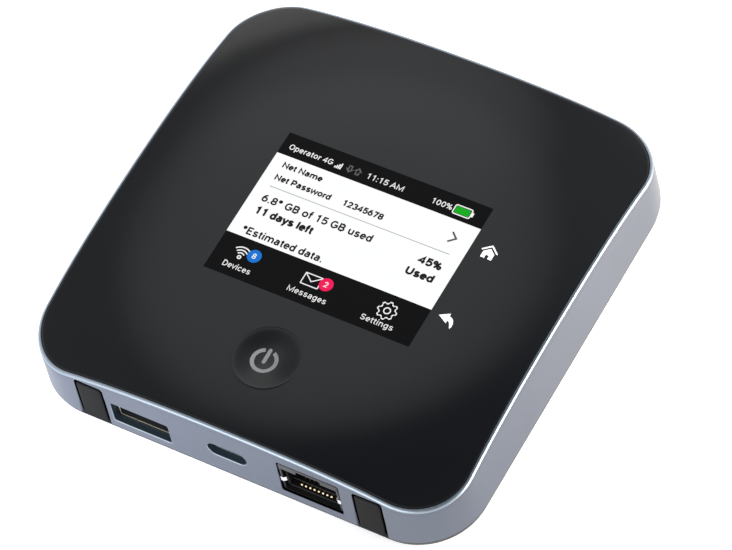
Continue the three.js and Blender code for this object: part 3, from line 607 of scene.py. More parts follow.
def plate(name, outlines, material, surface=dome, lift=0.02):
    """A thin plate of closed outlines, laid on a surface; an outline inside another is a hole."""
    curve = bpy.data.curves.new(name, "CURVE")
    curve.dimensions = "2D"
    curve.fill_mode = "BOTH"
    curve.extrude = 0.5
    for outline in outlines:
        spline = curve.splines.new("POLY")
        spline.points.add(len(outline) - 1)
        for point, (x, y) in zip(spline.points, outline):
            point.co = (x, y, 0, 1)
        spline.use_cyclic_u = True
    source = link(bpy.data.objects.new(name, curve))
    graph = bpy.context.evaluated_depsgraph_get()
    mesh = bpy.data.meshes.new_from_object(source.evaluated_get(graph))
    bpy.data.objects.remove(source)
    weld(mesh, 1e-4, dissolve=True)
    thickness = 0.05
    for vertex in mesh.vertices:
        x, y, side = vertex.co
        vertex.co = Vector((x, y, surface(x, y) + lift - (0.0 if side > 0 else thickness))) * MM
    mesh.materials.clear()
    mesh.materials.append(material)
    return link(bpy.data.objects.new(name, mesh))


def moved(points, x, y):
    return [(x + px, y + py) for px, py in points]


# ---- display lettering: plain pen strokes, with a capital one unit high ---------------------------

def arc(x, y, wide, tall, start, stop, steps):
    """Points of part of an ellipse, between two angles in degrees."""
    angles = [math.radians(start + (stop - start) * step / steps) for step in range(steps + 1)]
    return [(x + wide * math.cos(angle), y + tall * math.sin(angle)) for angle in angles]


def bow(x, y, wide, tall, start, stop):
    """A bent pen stroke."""
    return arc(x, y, wide, tall, start, stop, max(3, round(abs(stop - start) / 24)))


def oval(x, y, wide, tall):
    return bow(x, y, wide, tall, 0, 360)


# Each letter is its width and its pen strokes.
LETTERS = {
    " ": (0.35, []),
    ".": (0.37, [[(0.11, 0.07), (0.26, 0.07)]]),
    ":": (0.34, [[(0.1, 0.07), (0.24, 0.07)], [(0.1, 0.6), (0.24, 0.6)]]),
    "*": (0.6, [[(0.3, 0.52), (0.3, 1.0)], [(0.1, 0.64), (0.5, 0.88)], [(0.1, 0.88), (0.5, 0.64)]]),
    "%": (1.03, [oval(0.25, 0.76, 0.15, 0.18), oval(0.78, 0.24, 0.15, 0.18), [(0.28, 0.05), (0.76, 0.95)]]),
    "0": (0.79, [oval(0.395, 0.5, 0.26, 0.44)]),
    "1": (0.79, [[(0.2, 0.78), (0.46, 0.93), (0.46, 0)]]),
    "2": (0.79, [bow(0.39, 0.67, 0.26, 0.27, 170, -30) + [(0.14, 0.06), (0.69, 0.06)]]),
    "3": (0.79, [bow(0.37, 0.72, 0.25, 0.22, 160, -90), bow(0.37, 0.28, 0.28, 0.22, 90, -160)]),
    "4": (0.79, [[(0.54, 0), (0.54, 0.92), (0.1, 0.29), (0.72, 0.29)]]),
    "5": (0.79, [[(0.67, 0.94), (0.22, 0.94), (0.17, 0.5)] + bow(0.39, 0.34, 0.28, 0.28, 125, -150)]),
    "6": (0.79, [oval(0.4, 0.33, 0.26, 0.27), bow(0.6, 0.34, 0.46, 0.6, 92, 178)]),
    "7": (0.79, [[(0.1, 0.94), (0.66, 0.94), (0.29, 0)]]),
    "8": (0.79, [oval(0.395, 0.72, 0.23, 0.22), oval(0.395, 0.28, 0.27, 0.22)]),
    "A": (0.92, [[(0.06, 0), (0.46, 0.96), (0.86, 0)], [(0.2, 0.32), (0.72, 0.32)]]),
    "B": (0.88, [[(0.17, 0.06), (0.17, 0.94), (0.45, 0.94)] + bow(0.45, 0.73, 0.24, 0.21, 90, -90)
                 + [(0.17, 0.52)], [(0.17, 0.06), (0.46, 0.06)] + bow(0.46, 0.29, 0.27, 0.23, -90, 90)]),
    "D": (0.92, [[(0.17, 0.06), (0.17, 0.94), (0.38, 0.94)] + bow(0.38, 0.5, 0.42, 0.44, 90, -90)
                 + [(0.17, 0.06)]]),
    "E": (0.8, [[(0.7, 0.94), (0.17, 0.94), (0.17, 0.06), (0.71, 0.06)], [(0.17, 0.52), (0.64, 0.52)]]),
    "G": (0.96, [bow(0.48, 0.5, 0.35, 0.44, 42, 318) + [(0.83, 0.24), (0.83, 0.46), (0.5, 0.46)]]),
    "M": (1.23, [[(0.17, 0), (0.17, 0.92), (0.615, 0.1), (1.06, 0.92), (1.06, 0)]]),
    "N": (1.0, [[(0.17, 0), (0.17, 0.92), (0.83, 0.08), (0.83, 1)]]),
    "O": (0.97, [oval(0.485, 0.5, 0.36, 0.44)]),
    "P": (0.89, [[(0.17, 0), (0.17, 0.94), (0.46, 0.94)] + bow(0.46, 0.68, 0.28, 0.26, 90, -90)
                 + [(0.17, 0.42)]]),
    "S": (0.83, [bow(0.41, 0.715, 0.26, 0.225, 15, 270) + bow(0.41, 0.275, 0.28, 0.215, 90, -165)]),
    "U": (0.91, [[(0.16, 1)] + bow(0.455, 0.36, 0.295, 0.3, 180, 360) + [(0.75, 1)]]),
    "a": (0.76, [bow(0.36, 0.5, 0.22, 0.18, 150, 0) + [(0.58, 0)],
                 [(0.58, 0.41), (0.34, 0.41)] + bow(0.33, 0.235, 0.2, 0.175, 100, 270)
                 + bow(0.33, 0.3, 0.25, 0.24, 285, 345)]),
    "c": (0.73, [bow(0.38, 0.37, 0.26, 0.31, 40, 320)]),
    "d": (0.79, [oval(0.37, 0.37, 0.24, 0.31), [(0.62, 0), (0.62, 1.04)]]),
    "e": (0.74, [[(0.13, 0.38), (0.62, 0.38)] + bow(0.375, 0.37, 0.25, 0.31, 8, 318)]),
    "f": (0.48, [[(0.22, 0)] + bow(0.38, 0.84, 0.16, 0.14, 180, 80), [(0.04, 0.68), (0.42, 0.68)]]),
    "g": (0.79, [oval(0.37, 0.37, 0.24, 0.31), [(0.62, 0.74)] + bow(0.38, -0.02, 0.24, 0.21, 0, -145)]),
    "i": (0.34, [[(0.17, 0), (0.17, 0.74)], [(0.17, 0.88), (0.17, 1.03)]]),
    "l": (0.34, [[(0.17, 0), (0.17, 1.04)]]),
    "m": (1.23, [[(0.16, 0), (0.16, 0.74)], bow(0.385, 0.45, 0.225, 0.23, 180, 0) + [(0.61, 0)],
                 bow(0.84, 0.45, 0.225, 0.23, 180, 0) + [(1.065, 0)]]),
    "n": (0.78, [[(0.16, 0), (0.16, 0.74)], bow(0.39, 0.44, 0.23, 0.24, 180, 0) + [(0.62, 0)]]),
    "o": (0.8, [oval(0.4, 0.37, 0.27, 0.31)]),
    "p": (0.79, [[(0.16, -0.28), (0.16, 0.74)], oval(0.41, 0.37, 0.25, 0.31)]),
    "r": (0.48, [[(0.16, 0), (0.16, 0.74)], bow(0.4, 0.42, 0.24, 0.26, 170, 80)]),
    "s": (0.73, [bow(0.365, 0.525, 0.2, 0.155, 20, 270) + bow(0.365, 0.21, 0.23, 0.155, 90, -165)]),
    "t": (0.46, [[(0.22, 0.92)] + bow(0.36, 0.2, 0.14, 0.14, 180, 285), [(0.04, 0.68), (0.4, 0.68)]]),
    "u": (0.78, [[(0.16, 0.74)] + bow(0.39, 0.3, 0.23, 0.24, 180, 350), [(0.62, 0.74), (0.62, 0)]]),
    "v": (0.68, [[(0.06, 0.74), (0.34, 0.05), (0.62, 0.74)]]),
    "w": (1.06, [[(0.06, 0.74), (0.28, 0.05), (0.53, 0.7), (0.78, 0.05), (1.0, 0.74)]]),
    "y": (0.67, [[(0.06, 0.74), (0.34, 0.05)],
                 [(0.61, 0.74), (0.3, -0.14)] + bow(0.16, -0.06, 0.15, 0.18, -35, -100)]),
}


def sides(path, half, sharpest, closed=False):
    """The two sides of a line along a path, mitred at its bends as far as the sharpest one allows."""
    points = [Vector(p) for p in path]
    count = len(points)
    left, right = [], []
    for index, point in enumerate(points):
        before = points[index - 1] if index or closed else None
        after = points[(index + 1) % count] if index < count - 1 or closed else None
        outgoing = (after - point).normalized() if after else (point - before).normalized()
        incoming = (point - before).normalized() if before else outgoing
        along = (incoming + outgoing).normalized()
        side = Vector((-along.y, along.x))
        reach = half / max(sharpest, side.dot(Vector((-incoming.y, incoming.x))))
        left.append(point + side * reach)
        right.append(point - side * reach)
    return left, right


def pen_stroke(path, weight, top, thickness):
    """Vertices and faces of a flat-ended pen stroke of a weight, as one thin closed prism."""
    closed = (Vector(path[0]) - Vector(path[-1])).length < 1e-6
    left, right = sides(path[:-1] if closed else path, weight / 2, 0.5, closed)
    low = top - thickness
    rings = [[Vector((*point, level)) for point, level in ((a, top), (b, top), (b, low), (a, low))]
             for a, b in zip(left, right)]
    return loft(rings, annular=closed)


def words(name, text, size, x, y, material, align="LEFT", weight=0.2, lift=0.03, width=None):
    """Lettering on the display. size is its capital height, and width squeezes or stretches it to fit."""
    natural = sum(LETTERS[letter][0] for letter in text)
    wide = width / natural if width else size
    start = x - {"LEFT": 0.0, "CENTER": 0.5, "RIGHT": 1.0}[align] * natural * wide
    vertices, faces = [], []
    # Neighbouring strokes lie at slightly different heights, so that their faces never coincide.
    layers, layer_step, thickness = 4, 0.0015, 0.03
    layer = 0
    for letter in text:
        advance, strokes = LETTERS[letter]
        for path in strokes:
            placed = [(start + px * wide, y + (py - 0.5) * size) for px, py in path]
            layer = (layer + 1) % layers
            more_vertices, more_faces = pen_stroke(placed, weight, lift + layer * layer_step, thickness)
            first = len(vertices)
            vertices += [Vector((v.x, v.y, dome(v.x, v.y) + v.z)) for v in more_vertices]
            faces += [tuple(first + corner for corner in face) for face in more_faces]
        start += advance * wide
    return make(name, vertices, faces, material)


# ---- outlines of icons ---------------------------------------------------------------------------

def circle(x, y, radius, steps=40):
    return arc(x, y, radius, radius, 0, 360 * (steps - 1) / steps, steps - 1)


def band(x, y, inner, outer, start, stop, steps):
    """Outline of a ring segment."""
    return arc(x, y, outer, outer, start, stop, steps) + arc(x, y, inner, inner, stop, start, steps)


def stroke(path, width, round_steps=6):
    """Outline of a line of a width with round ends and mitred corners."""
    left, right = sides(path, width / 2, 0.3)
    end, start = Vector(path[-1]), Vector(path[0])
    outline = left + round_end(end, (end - Vector(path[-2])).normalized(), width / 2, round_steps)
    outline += right[::-1] + round_end(start, (start - Vector(path[1])).normalized(), width / 2, round_steps)
    return [tuple(p) for p in outline]


def round_end(centre, along, radius, steps):
    """Points round the end of a line, from its left side to its right."""
    side = Vector((-along.y, along.x))
    angles = [math.pi * step / steps for step in range(1, steps)]
    return [centre + radius * (math.cos(angle) * side + math.sin(angle) * along) for angle in angles]


def gear_outline(x, y, outer, inner, teeth=8):
    """A soft gear wheel: the radius swings smoothly between teeth and gaps."""
    points = []
    steps = teeth * 12
    for step in range(steps):
        angle = 2 * math.pi * step / steps
        swing = max(-1.0, min(1.0, 1.7 * math.cos(teeth * angle)))
        radius = (outer + inner) / 2 + (outer - inner) / 2 * swing
        points.append((x + radius * math.cos(angle), y + radius * math.sin(angle)))
    return points


def build_power_symbol():
    """A ring open at the top with a bar in its gap, printed a little off the button's middle."""
    x, y = BUTTON_X - 0.5, BUTTON_Y - 0.6
    lift = 0.012
    open_ring = band(x, y, 2.17, 3.02, 113, 427, 72)
    upright = stroke([(x, y - 0.3), (x, y + 2.7)], 0.82, 8)
    printed_ring = plate("power_symbol_ring", [open_ring], GREY_PRINT, dish, lift)
    bar = plate("power_symbol_bar", [upright], GREY_PRINT, dish, lift)
    place_piece(printed_ring, "power_button", "grey_print", "power_symbol")
    place_piece(bar, "power_button", "grey_print")


# Outlines of the two touch keys: a house round its own middle, and a bent arrow on the plan.
HOME_KEY = (30.88, 8.6)
HOME_HOUSE = [(0.0, 1.0), (-1.3, -0.1), (-1.3, -1.6), (-0.38, -1.6), (-0.38, -0.75), (0.38, -0.75),
              (0.38, -1.6), (1.3, -1.6), (1.3, -0.1)]
HOME_ROOF = [(-1.7, 0.3), (0.0, 1.7), (1.7, 0.3)]
BACK_ARROW_HEAD = [(28.6, -9.2), (30.85, -10.45), (30.8, -9.75)]
BACK_ARROW_INNER = [(31.25, -9.85), (31.65, -10.3), (31.85, -10.85), (32.15, -11.35)]
BACK_ARROW_OUTER = [(32.4, -10.7), (32.3, -9.9), (31.95, -9.2), (31.45, -8.8), (30.85, -8.65), (30.8, -7.95)]


def build_keys():
    house = plate("home_key_house", [moved(HOME_HOUSE, *HOME_KEY)], WHITE_PRINT)
    roof = plate("home_key_roof", [stroke(moved(HOME_ROOF, *HOME_KEY), 0.36)], WHITE_PRINT)
    arrow = plate("back_key_arrow", [BACK_ARROW_HEAD + BACK_ARROW_INNER + BACK_ARROW_OUTER], WHITE_PRINT)
    place_piece(house, "housing", "white_print", "home_key")
    place_piece(roof, "housing", "white_print")
    place_piece(arrow, "housing", "white_print", "back_key")


build_power_symbol()
build_keys()

SCREEN_WHITE = lit("screen_white", (0.97, 0.975, 0.98))
SCREEN_BLACK = lit("screen_black", (0.0025, 0.0025, 0.003))
SCREEN_INK = lit("screen_ink", (0.012, 0.012, 0.013))
SCREEN_TEXT = lit("screen_text", (0.9, 0.9, 0.9))
SCREEN_DIM = lit("screen_dim", (0.12, 0.12, 0.125))
SCREEN_GREY = lit("screen_grey", (0.1, 0.1, 0.105))
SCREEN_RULE = lit("screen_rule", (0.42, 0.42, 0.43))
SCREEN_GREEN = lit("screen_green", (0.006, 0.4, 0.012))
SCREEN_BLUE = lit("screen_blue", (0.01, 0.17, 0.62))
SCREEN_PINK = lit("screen_pink", (0.87, 0.01, 0.1))

# Places on the display are shares of its width and height, from its top left corner.
STATUS_BAR = 0.15
MENU_BAR = 0.735


def across(share):
    return SCREEN_LEFT + SCREEN_WIDTH * share


def down(share):
    return SCREEN_TOP - SCREEN_HEIGHT * share


def screen_patch(name, top, bottom, material):
    """A band of the display, right across it, following the dome."""
    columns, rows = 24, 10
    stride = columns + 1
    layer = (rows + 1) * stride
    vertices = []
    underside, face = -1.2, -0.03
    for lift in (underside, face):
        for row in range(rows + 1):
            y = down(top + (bottom - top) * row / rows)
            for column in range(stride):
                x = across(column / columns)
                vertices.append((x, y, dome(x, y) + lift))
    faces = []
    for row in range(rows):
        for column in range(columns):
            a = row * stride + column
            faces.append((a, a + 1, a + stride + 1, a + stride))
            faces.append((layer + a, layer + a + stride, layer + a + stride + 1, layer + a + 1))
    border = list(range(columns))
    border += [row * stride + columns for row in range(rows)]
    border += [rows * stride + column for column in range(columns, 0, -1)]
    border += [row * stride for row in range(rows, 0, -1)]
    for start, end in zip(border, border[1:] + border[:1]):
        faces.append((start, layer + start, layer + end, end))
    return make(name, vertices, faces, material)


def build_screen():
    bar = screen_patch("screen_status_bar", 0.0, STATUS_BAR, SCREEN_BLACK)
    page = screen_patch("screen_page", STATUS_BAR, MENU_BAR, SCREEN_WHITE)
    menu = screen_patch("screen_menu_bar", MENU_BAR, 1.0, SCREEN_BLACK)
    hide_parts("display_window")
    for piece in [bar, page, menu] + status_marks() + page_marks() + menu_marks():
        place_piece(piece, "housing", "display_glass")


def text_rows(rows, size, y, weight):
    """Lines of bright lettering: name, text, place across and width."""
    return [words(name, text, size, across(share), y, SCREEN_TEXT, weight=weight, width=width)
            for name, text, share, width in rows]


def box_at(x, y, width, height, radius):
    return moved(rounded_rectangle(width, height, radius), x, y)


# An outlined arrow that points up, and the hollow inside it.
STATUS_ARROW = [(-0.45, 0.0), (-0.95, 0.0), (0.0, 1.0), (0.95, 0.0), (0.45, 0.0), (0.45, -0.9), (-0.45, -0.9)]
STATUS_ARROW_HOLLOW = [(-0.2, -0.2), (-0.5, -0.2), (0.0, 0.65), (0.5, -0.2), (0.2, -0.2), (0.2, -0.68),
                       (-0.2, -0.68)]


def status_marks():
    row = down(0.086)
    marks = text_rows((("status_operator", "Operator 4G", 0.035, 10.9),
                       ("status_time", "11:15 AM", 0.418, 9.2),
                       ("status_charge", "100%", 0.735, 5.1)), 1.35, row, 0.2)
    low, bar_width = down(0.112), 0.3
    for index in range(4):
        x = across(0.266) + index * 0.42
        tall = 0.45 + 0.36 * index
        bar = [(x, low), (x + bar_width, low), (x + bar_width, low + tall), (x, low + tall)]
        marks.append(plate(f"status_signal_{index + 1}", [bar], SCREEN_TEXT))
    for index, turn in enumerate((-1, 1)):
        outlines = [moved([(px, turn * py) for px, py in part], across(0.335 + 0.04 * index), row)
                    for part in (STATUS_ARROW, STATUS_ARROW_HOLLOW)]
        marks.append(plate(f"status_arrow_{index + 1}", outlines, SCREEN_DIM))
    x, wide, tall = across(0.886), 4.3, 2.5
    case, inside = box_at(x, row, wide, tall, 0.5), box_at(x, row, wide - 0.5, tall - 0.5, 0.3)
    tip = box_at(x + wide / 2 + 0.22, row, 0.4, 1.1, 0.15)
    charge = box_at(x, row, wide - 0.85, tall - 0.85, 0.1)
    return marks + [plate("status_battery_case", [case, inside], SCREEN_TEXT),
                    plate("status_battery_tip", [tip], SCREEN_TEXT),
                    plate("status_battery_charge", [charge], SCREEN_GREEN)]


def page_marks():
    small, large = 1.4, 1.75
    light, medium, bold = 0.36, 0.38, 0.5
    right_side = 0.94
    lines = (("page_name", "Net Name", small, 0.055, 0.212, light, 9.9),
             ("page_password", "Net Password", small, 0.055, 0.303, light, 13.9),
             ("page_code", "12345678", small, 0.39, 0.303, light, 10.0),
             ("page_used", "6.8* GB of 15 GB used", large, 0.057, 0.456, medium, 27.2),
             ("page_days", "11 days left", large, 0.06, 0.544, bold, 14.3),
             ("page_note", "*Estimated data.", large, 0.058, 0.688, medium, 20.0),
             ("page_share", "45%", large, right_side, 0.464, bold, 5.5),
             ("page_share_word", "Used", large, right_side, 0.556, bold, 6.8))
    marks = [words(name, text, size, across(share), down(level), SCREEN_INK,
                   "RIGHT" if share == right_side else "LEFT", weight, width=width)
             for name, text, size, share, level, weight, width in lines]
    rule = [(across(share), down(level))
            for share, level in ((0.058, 0.374), (0.938, 0.374), (0.938, 0.369), (0.058, 0.369))]
    chevron = [(across(share), down(level)) for share, level in ((0.9, 0.232), (0.927, 0.264), (0.9, 0.296))]
    return marks + [plate("page_rule", [rule], SCREEN_RULE),
                    plate("page_chevron", [stroke(chevron, 0.42, 4)], SCREEN_GREY)]


def menu_marks():
    x, y = across(0.119), down(0.866)
    marks = [plate(f"menu_wave_{index + 1}", [band(x, y, radius, radius + 0.27, 45, 135, 16)], SCREEN_TEXT)
             for index, radius in enumerate((0.95, 1.65, 2.4))]
    marks.append(plate("menu_wave_dot", [circle(x, y, 0.5, 24), circle(x, y, 0.22, 16)], SCREEN_TEXT))
    badges = (("menu_badge_devices", "8", 0.178, 0.827, SCREEN_BLUE),
              ("menu_badge_messages", "2", 0.532, 0.83, SCREEN_PINK))
    for name, figure, share, level, material in badges:
        x, y = across(share), down(level)
        marks.append(plate(name, [circle(x, y, 1.6)], material, lift=0.05))
        marks.append(words(f"{name}_figure", figure, 1.3, x, y, SCREEN_TEXT, "CENTER", 0.19, 0.08))
    x, y = across(0.465), down(0.838)
    fold = [(x - 1.9, y + 1.2), (x, y - 0.3), (x + 1.9, y + 1.2)]
    marks.append(plate("menu_envelope", [box_at(x, y, 4.3, 3.0, 0.25), box_at(x, y, 3.86, 2.56, 0.1)],
                       SCREEN_TEXT))
    marks.append(plate("menu_envelope_fold", [stroke(fold, 0.22)], SCREEN_TEXT))
    x, y = across(0.832), down(0.842)
    marks.append(plate("menu_gear", [gear_outline(x, y, 2.3, 1.85), gear_outline(x, y, 2.02, 1.57)],
                       SCREEN_TEXT))
    marks.append(plate("menu_gear_hub", [circle(x, y, 0.85, 24), circle(x, y, 0.6, 20)], SCREEN_TEXT))
    labels = (("menu_label_devices", "Devices", 0.135, 6.9), ("menu_label_messages", "Messages", 0.48, 9.6),
              ("menu_label_settings", "Settings", 0.82, 7.9))
    for name, text, share, wide in labels:
        marks.append(words(name, text, 1.4, across(share), down(0.93), SCREEN_TEXT, "CENTER", 0.175,
                           width=wide))
    return marks


build_screen()


# ---- ports ---------------------------------------------------------------------------------------

def sleeve(name, x, z, width, height, radius, wall, front, back, material, steps=8):
    """A metal shell along Y: an open rounded mouth at the front and a closed back."""
    lip = wall * 0.18
    outside = ((0.0, back), (0.0, front + lip), (lip * 0.3, front + lip * 0.3), (lip, front))
    inside = ((wall - lip, front), (wall - lip * 0.3, front + lip * 0.3), (wall, front + lip),
              (wall, back - wall))
    smallest_radius = 0.06
    rings = [wall_ring(rounded_rectangle(width - 2 * inset, height - 2 * inset,
                                         max(radius - inset, smallest_radius), steps), x, z, y)
             for inset, y in outside + inside]
    shell = make(name, *loft(rings), material, 35.0)
    shell.data.materials.append(PAINTED_SHADE_STEEL)
    shell.data.materials.append(STEEL)
    reach = wall * 0.9
    # Past the lip, the inside faces take the dark steel, painted shade inside the shell, and the outside ones
    # plain steel.
    for face in shell.data.polygons:
        px, py, pz = face.center / MM
        if py > front + lip:
            is_inside = abs(px - x) < width / 2 - reach and abs(pz - z) < height / 2 - reach
            face.material_index = 1 if is_inside else 2
    return shell


def ribbon(name, path, thickness, left, right, material, rounding=0.05):
    """A strip bent along a (y, z) path, running across from left to right."""
    upper, lower = sides(path, thickness / 2, 0.4)
    outline = upper + lower[::-1]
    rings = [[Vector((x, p.x, p.y)) for p in outline] for x in (left, right)]
    return soften(make(name, *loft(rings), material), rounding)


def bend(points, radius, steps=4):
    """Rounds the corners of a path with short arcs."""
    path = [Vector(p) for p in points]
    rounded = [path[0]]
    for before, corner, after in zip(path, path[1:], path[2:]):
        start = corner + (before - corner).normalized() * radius
        end = corner + (after - corner).normalized() * radius
        for step in range(steps + 1):
            share = step / steps
            rounded.append(start.lerp(corner, share).lerp(corner.lerp(end, share), share))
    return rounded + [path[-1]]


def upright_ribbon(name, path, thickness, low, high, material):
    """A strip standing on edge, bent along an (x, y) path."""
    strip = ribbon(name, [(y, -x) for x, y in path], thickness, low, high, material, 0.04)
    for vertex in strip.data.vertices:
        up, along, across_back = vertex.co
        vertex.co = (-across_back, along, up)
    return strip


# The network jack's mouth in its steel can, and the space behind it in the black insert.
JACK_MOUTH = {"half": 6.6, "high": 13.5, "latch_half": 2.9, "latch_top": 14.6}
JACK_SPACE = {"half": 6.0, "high": 13.4, "latch_half": 3.1, "latch_top": 14.4}
JACK_SPACE_FLOOR = 6.35
JACK_SPACE_BACK = -39.0
JACK_WALL = 0.3
# A contact wire's run from front to back (y, z), and a spring tab's folds (out from the middle, y).
WIRE_RUN = ((-50.6, 6.6), (-50.5, 6.78), (-50.2, 6.78), (-49.95, 6.6), (-49.7, 6.62), (-41.8, 8.5),
            (-39.25, 8.5))
SPRING_FOLDS = ((7.2, -51.0), (7.2, -52.22), (6.5, -52.24), (5.9, -51.75), (6.4, -51.3))


def jack_cutters(opening, low, front, back, material):
    """Cutters for a plug's space and, above it, its latch's."""
    x, half, latch_half = NETWORK_PORT["x"], opening["half"], opening["latch_half"]
    plug = block("cutter", (x - half, front, low), (x + half, back, opening["high"]), material)
    latch = block("cutter", (x - latch_half, front, opening["high"] - 1.0),
                  (x + latch_half, back, opening["latch_top"]), material)
    return [plug, latch]


def build_jack_shield():
    """A steel can flush with the wall, its front folded in above and beside the mouth."""
    low, high = box_mm("network_jack_shell")
    x, z = (low.x + high.x) / 2, (low.z + high.z) / 2
    width, height = high.x - low.x, high.z - low.z
    rings = [wall_ring(rounded_rectangle(width - 2 * inset, height - 2 * inset, 0.5 - inset), x, z, y)
             for inset, y in ((0.0, high.y), (0.0, low.y + 0.12), (0.04, low.y + 0.04), (0.12, low.y))]
    shield = make("network_jack_shield", *loft(rings), SHADED_JACK_STEEL)
    plan = rounded_rectangle(width - 2 * JACK_WALL, height - 2 * JACK_WALL, 0.25)
    rings = [wall_ring(plan, x, z, y) for y in (low.y + JACK_WALL, high.y - JACK_WALL)]
    hollow = make("cutter", *loft(rings), SHADED_JACK_STEEL)
    mouth = jack_cutters(JACK_MOUTH, low.z + JACK_WALL, low.y - 1.0, low.y + 1.0, SHADED_JACK_STEEL)
    cut(shield, [hollow, *mouth])
    place_piece(shield, "housing", "steel", "network_jack_shell")


def build_jack_insert():
    """The black insert: a space for the plug and a bar across the tips of the wires."""
    low, high = box_mm("network_jack_body")
    x = NETWORK_PORT["x"]
    insert = block("network_jack_insert", low, high, BLACK_PLASTIC)
    cut(insert, jack_cutters(JACK_SPACE, JACK_SPACE_FLOOR, low.y - 1.0, JACK_SPACE_BACK, BLACK_PLASTIC))
    soften(insert, 0.1)
    place_piece(insert, "housing", "black_plastic", "network_jack_body")
    half, front, back, bottom, top = 6.1, -50.05, -49.25, 7.02, 7.35
    bar = block("network_jack_comb", (x - half, front, bottom), (x + half, back, top), BLACK_PLASTIC, 0.08)
    place_piece(bar, "housing", "black_plastic")


def build_jack_wires():
    """Eight contacts that rise from the floor of the mouth, and the can's two spring tabs."""
    x, pitch, half_wire = NETWORK_PORT["x"], 1.02, 0.21
    path = bend(WIRE_RUN, 0.08)
    for index in range(8):
        middle = x + (index - 3.5) * pitch
        wire = ribbon(f"network_jack_wire_{index + 1}", path, 0.26, middle - half_wire, middle + half_wire,
                      GOLD)
        place_piece(wire, "housing", "gold_plate", f"network_jack_contact_{index + 1}")
    for name, side in (("left", -1), ("right", 1)):
        path = bend([(x + side * out, y) for out, y in SPRING_FOLDS], 0.18)
        tab = upright_ribbon(f"network_jack_spring_{name}", path, 0.13, 8.9, 10.3, SPRING_STEEL)
        place_piece(tab, "housing", "spring_steel")


def build_usb_port(kind, radius, material, steps, rounding):
    """A USB port's shell and tongue, from their CAD boxes; returns its middle and the tongue's box."""
    low, high = box_mm(f"{kind}_shell")
    x, z = (low.x + high.x) / 2, (low.z + high.z) / 2
    shell = sleeve(f"{kind}_shield", x, z, high.x - low.x, high.z - low.z, radius, 0.3, low.y, high.y,
                   material, steps)
    place_piece(shell, "housing", "steel", f"{kind}_shell")
    low, high = box_mm(f"{kind}_tongue")
    tongue = block(f"{kind}_blade", low, high, BLACK_PLASTIC, rounding)
    place_piece(tongue, "housing", "black_plastic", f"{kind}_tongue")
    return x, low, high


def build_usb_a():
    x, low, high = build_usb_port("usb_a", 0.55, NICKEL, 8, 0.18)
    for index, offset in enumerate((-3.5, -1.0, 1.0, 3.5)):
        contact = block(f"usb_a_contact_{index + 1}", (x + offset - 0.5, low.y + 0.8, low.z - 0.06),
                        (x + offset + 0.5, high.y - 1, low.z - 0.005), GOLD, 0.02)
        place_piece(contact, "housing", "gold_plate")


def build_usb_c():
    x, low, high = build_usb_port("usb_c", 1.62, STEEL, 12, 0.12)
    pitch, thickness, clearance = 0.5, 0.04, 0.004
    contacts = []
    for index in range(12):
        middle = x + (index - 5.5) * pitch
        for level in (high.z + clearance, low.z - thickness - clearance):
            contacts.append(block("contact", (middle - 0.13, low.y + 0.3, level),
                                  (middle + 0.13, low.y + 3.4, level + thickness), GOLD))
    strip = join_pieces("usb_c_contacts", contacts)
    place_piece(strip, "housing", "gold_plate")


build_jack_shield()
build_jack_insert()
build_jack_wires()
build_usb_a()
build_usb_c()


# ---- antenna flaps and sockets -------------------------------------------------------------------

FLAP_THICKNESS = 1.45
FLAP_ROUND = 0.42
# A flap's front edge: how far each ring draws in and how deep it lies.
FLAP_EDGE = ((FLAP_ROUND, 0.0), (FLAP_ROUND * 0.62, 0.03), (FLAP_ROUND * 0.29, 0.1), (FLAP_ROUND * 0.08, 0.2),
             (0.0, FLAP_ROUND), (0.0, FLAP_THICKNESS - 0.15), (0.15, FLAP_THICKNESS))
HINGE_RADIUS = 0.6
HINGE_Y = -WIDEST + 0.65
HINGE_RISE = 0.6
SOCKET_Z = 9.9
SOCKET_BACK = -43.6
PLUG_PROFILE = [(0.01, -51.6), (2.6, -51.6), (2.6, -50.15), (2.45, -49.95), (2.1, -49.95), (1.95, -50.1),
                (1.95, -50.6), (0.01, -50.6)]


def flap_outline(width, foot, top, inset):
    """Front outline of a flap: round at the top, nearly square at the foot."""
    half = width / 2 - FLAP_PLAY - inset
    top = top - FLAP_PLAY - inset
    corner = max(0.85 - inset, 0.05)
    quarter = [math.pi / 2 * step / 8 for step in range(9)]
    out, up = half - corner, top - corner
    right = [Vector((out + corner * math.cos(a), up + corner * math.sin(a))) for a in quarter]
    left = [Vector((-out - corner * math.sin(a), up + corner * math.cos(a))) for a in quarter]
    return [Vector((half, foot)), *right, *left, Vector((-half, foot))]


def hinge_roll(middle, width, hinge_z):
    """The round that a flap turns about, along its foot, a little narrower at both ends."""
    steps = 32
    angles = [2 * math.pi * step / steps for step in range(steps)]
    rings = []
    for x, radius in ((-width / 2, 0.8 * HINGE_RADIUS), (-width / 2 + 0.12, HINGE_RADIUS),
                      (width / 2 - 0.12, HINGE_RADIUS), (width / 2, 0.8 * HINGE_RADIUS)):
        rings.append([Vector((middle + x, HINGE_Y + radius * math.cos(a), hinge_z + radius * math.sin(a)))
                      for a in angles])
    return make("flap_roll", *loft(rings), RUBBER)


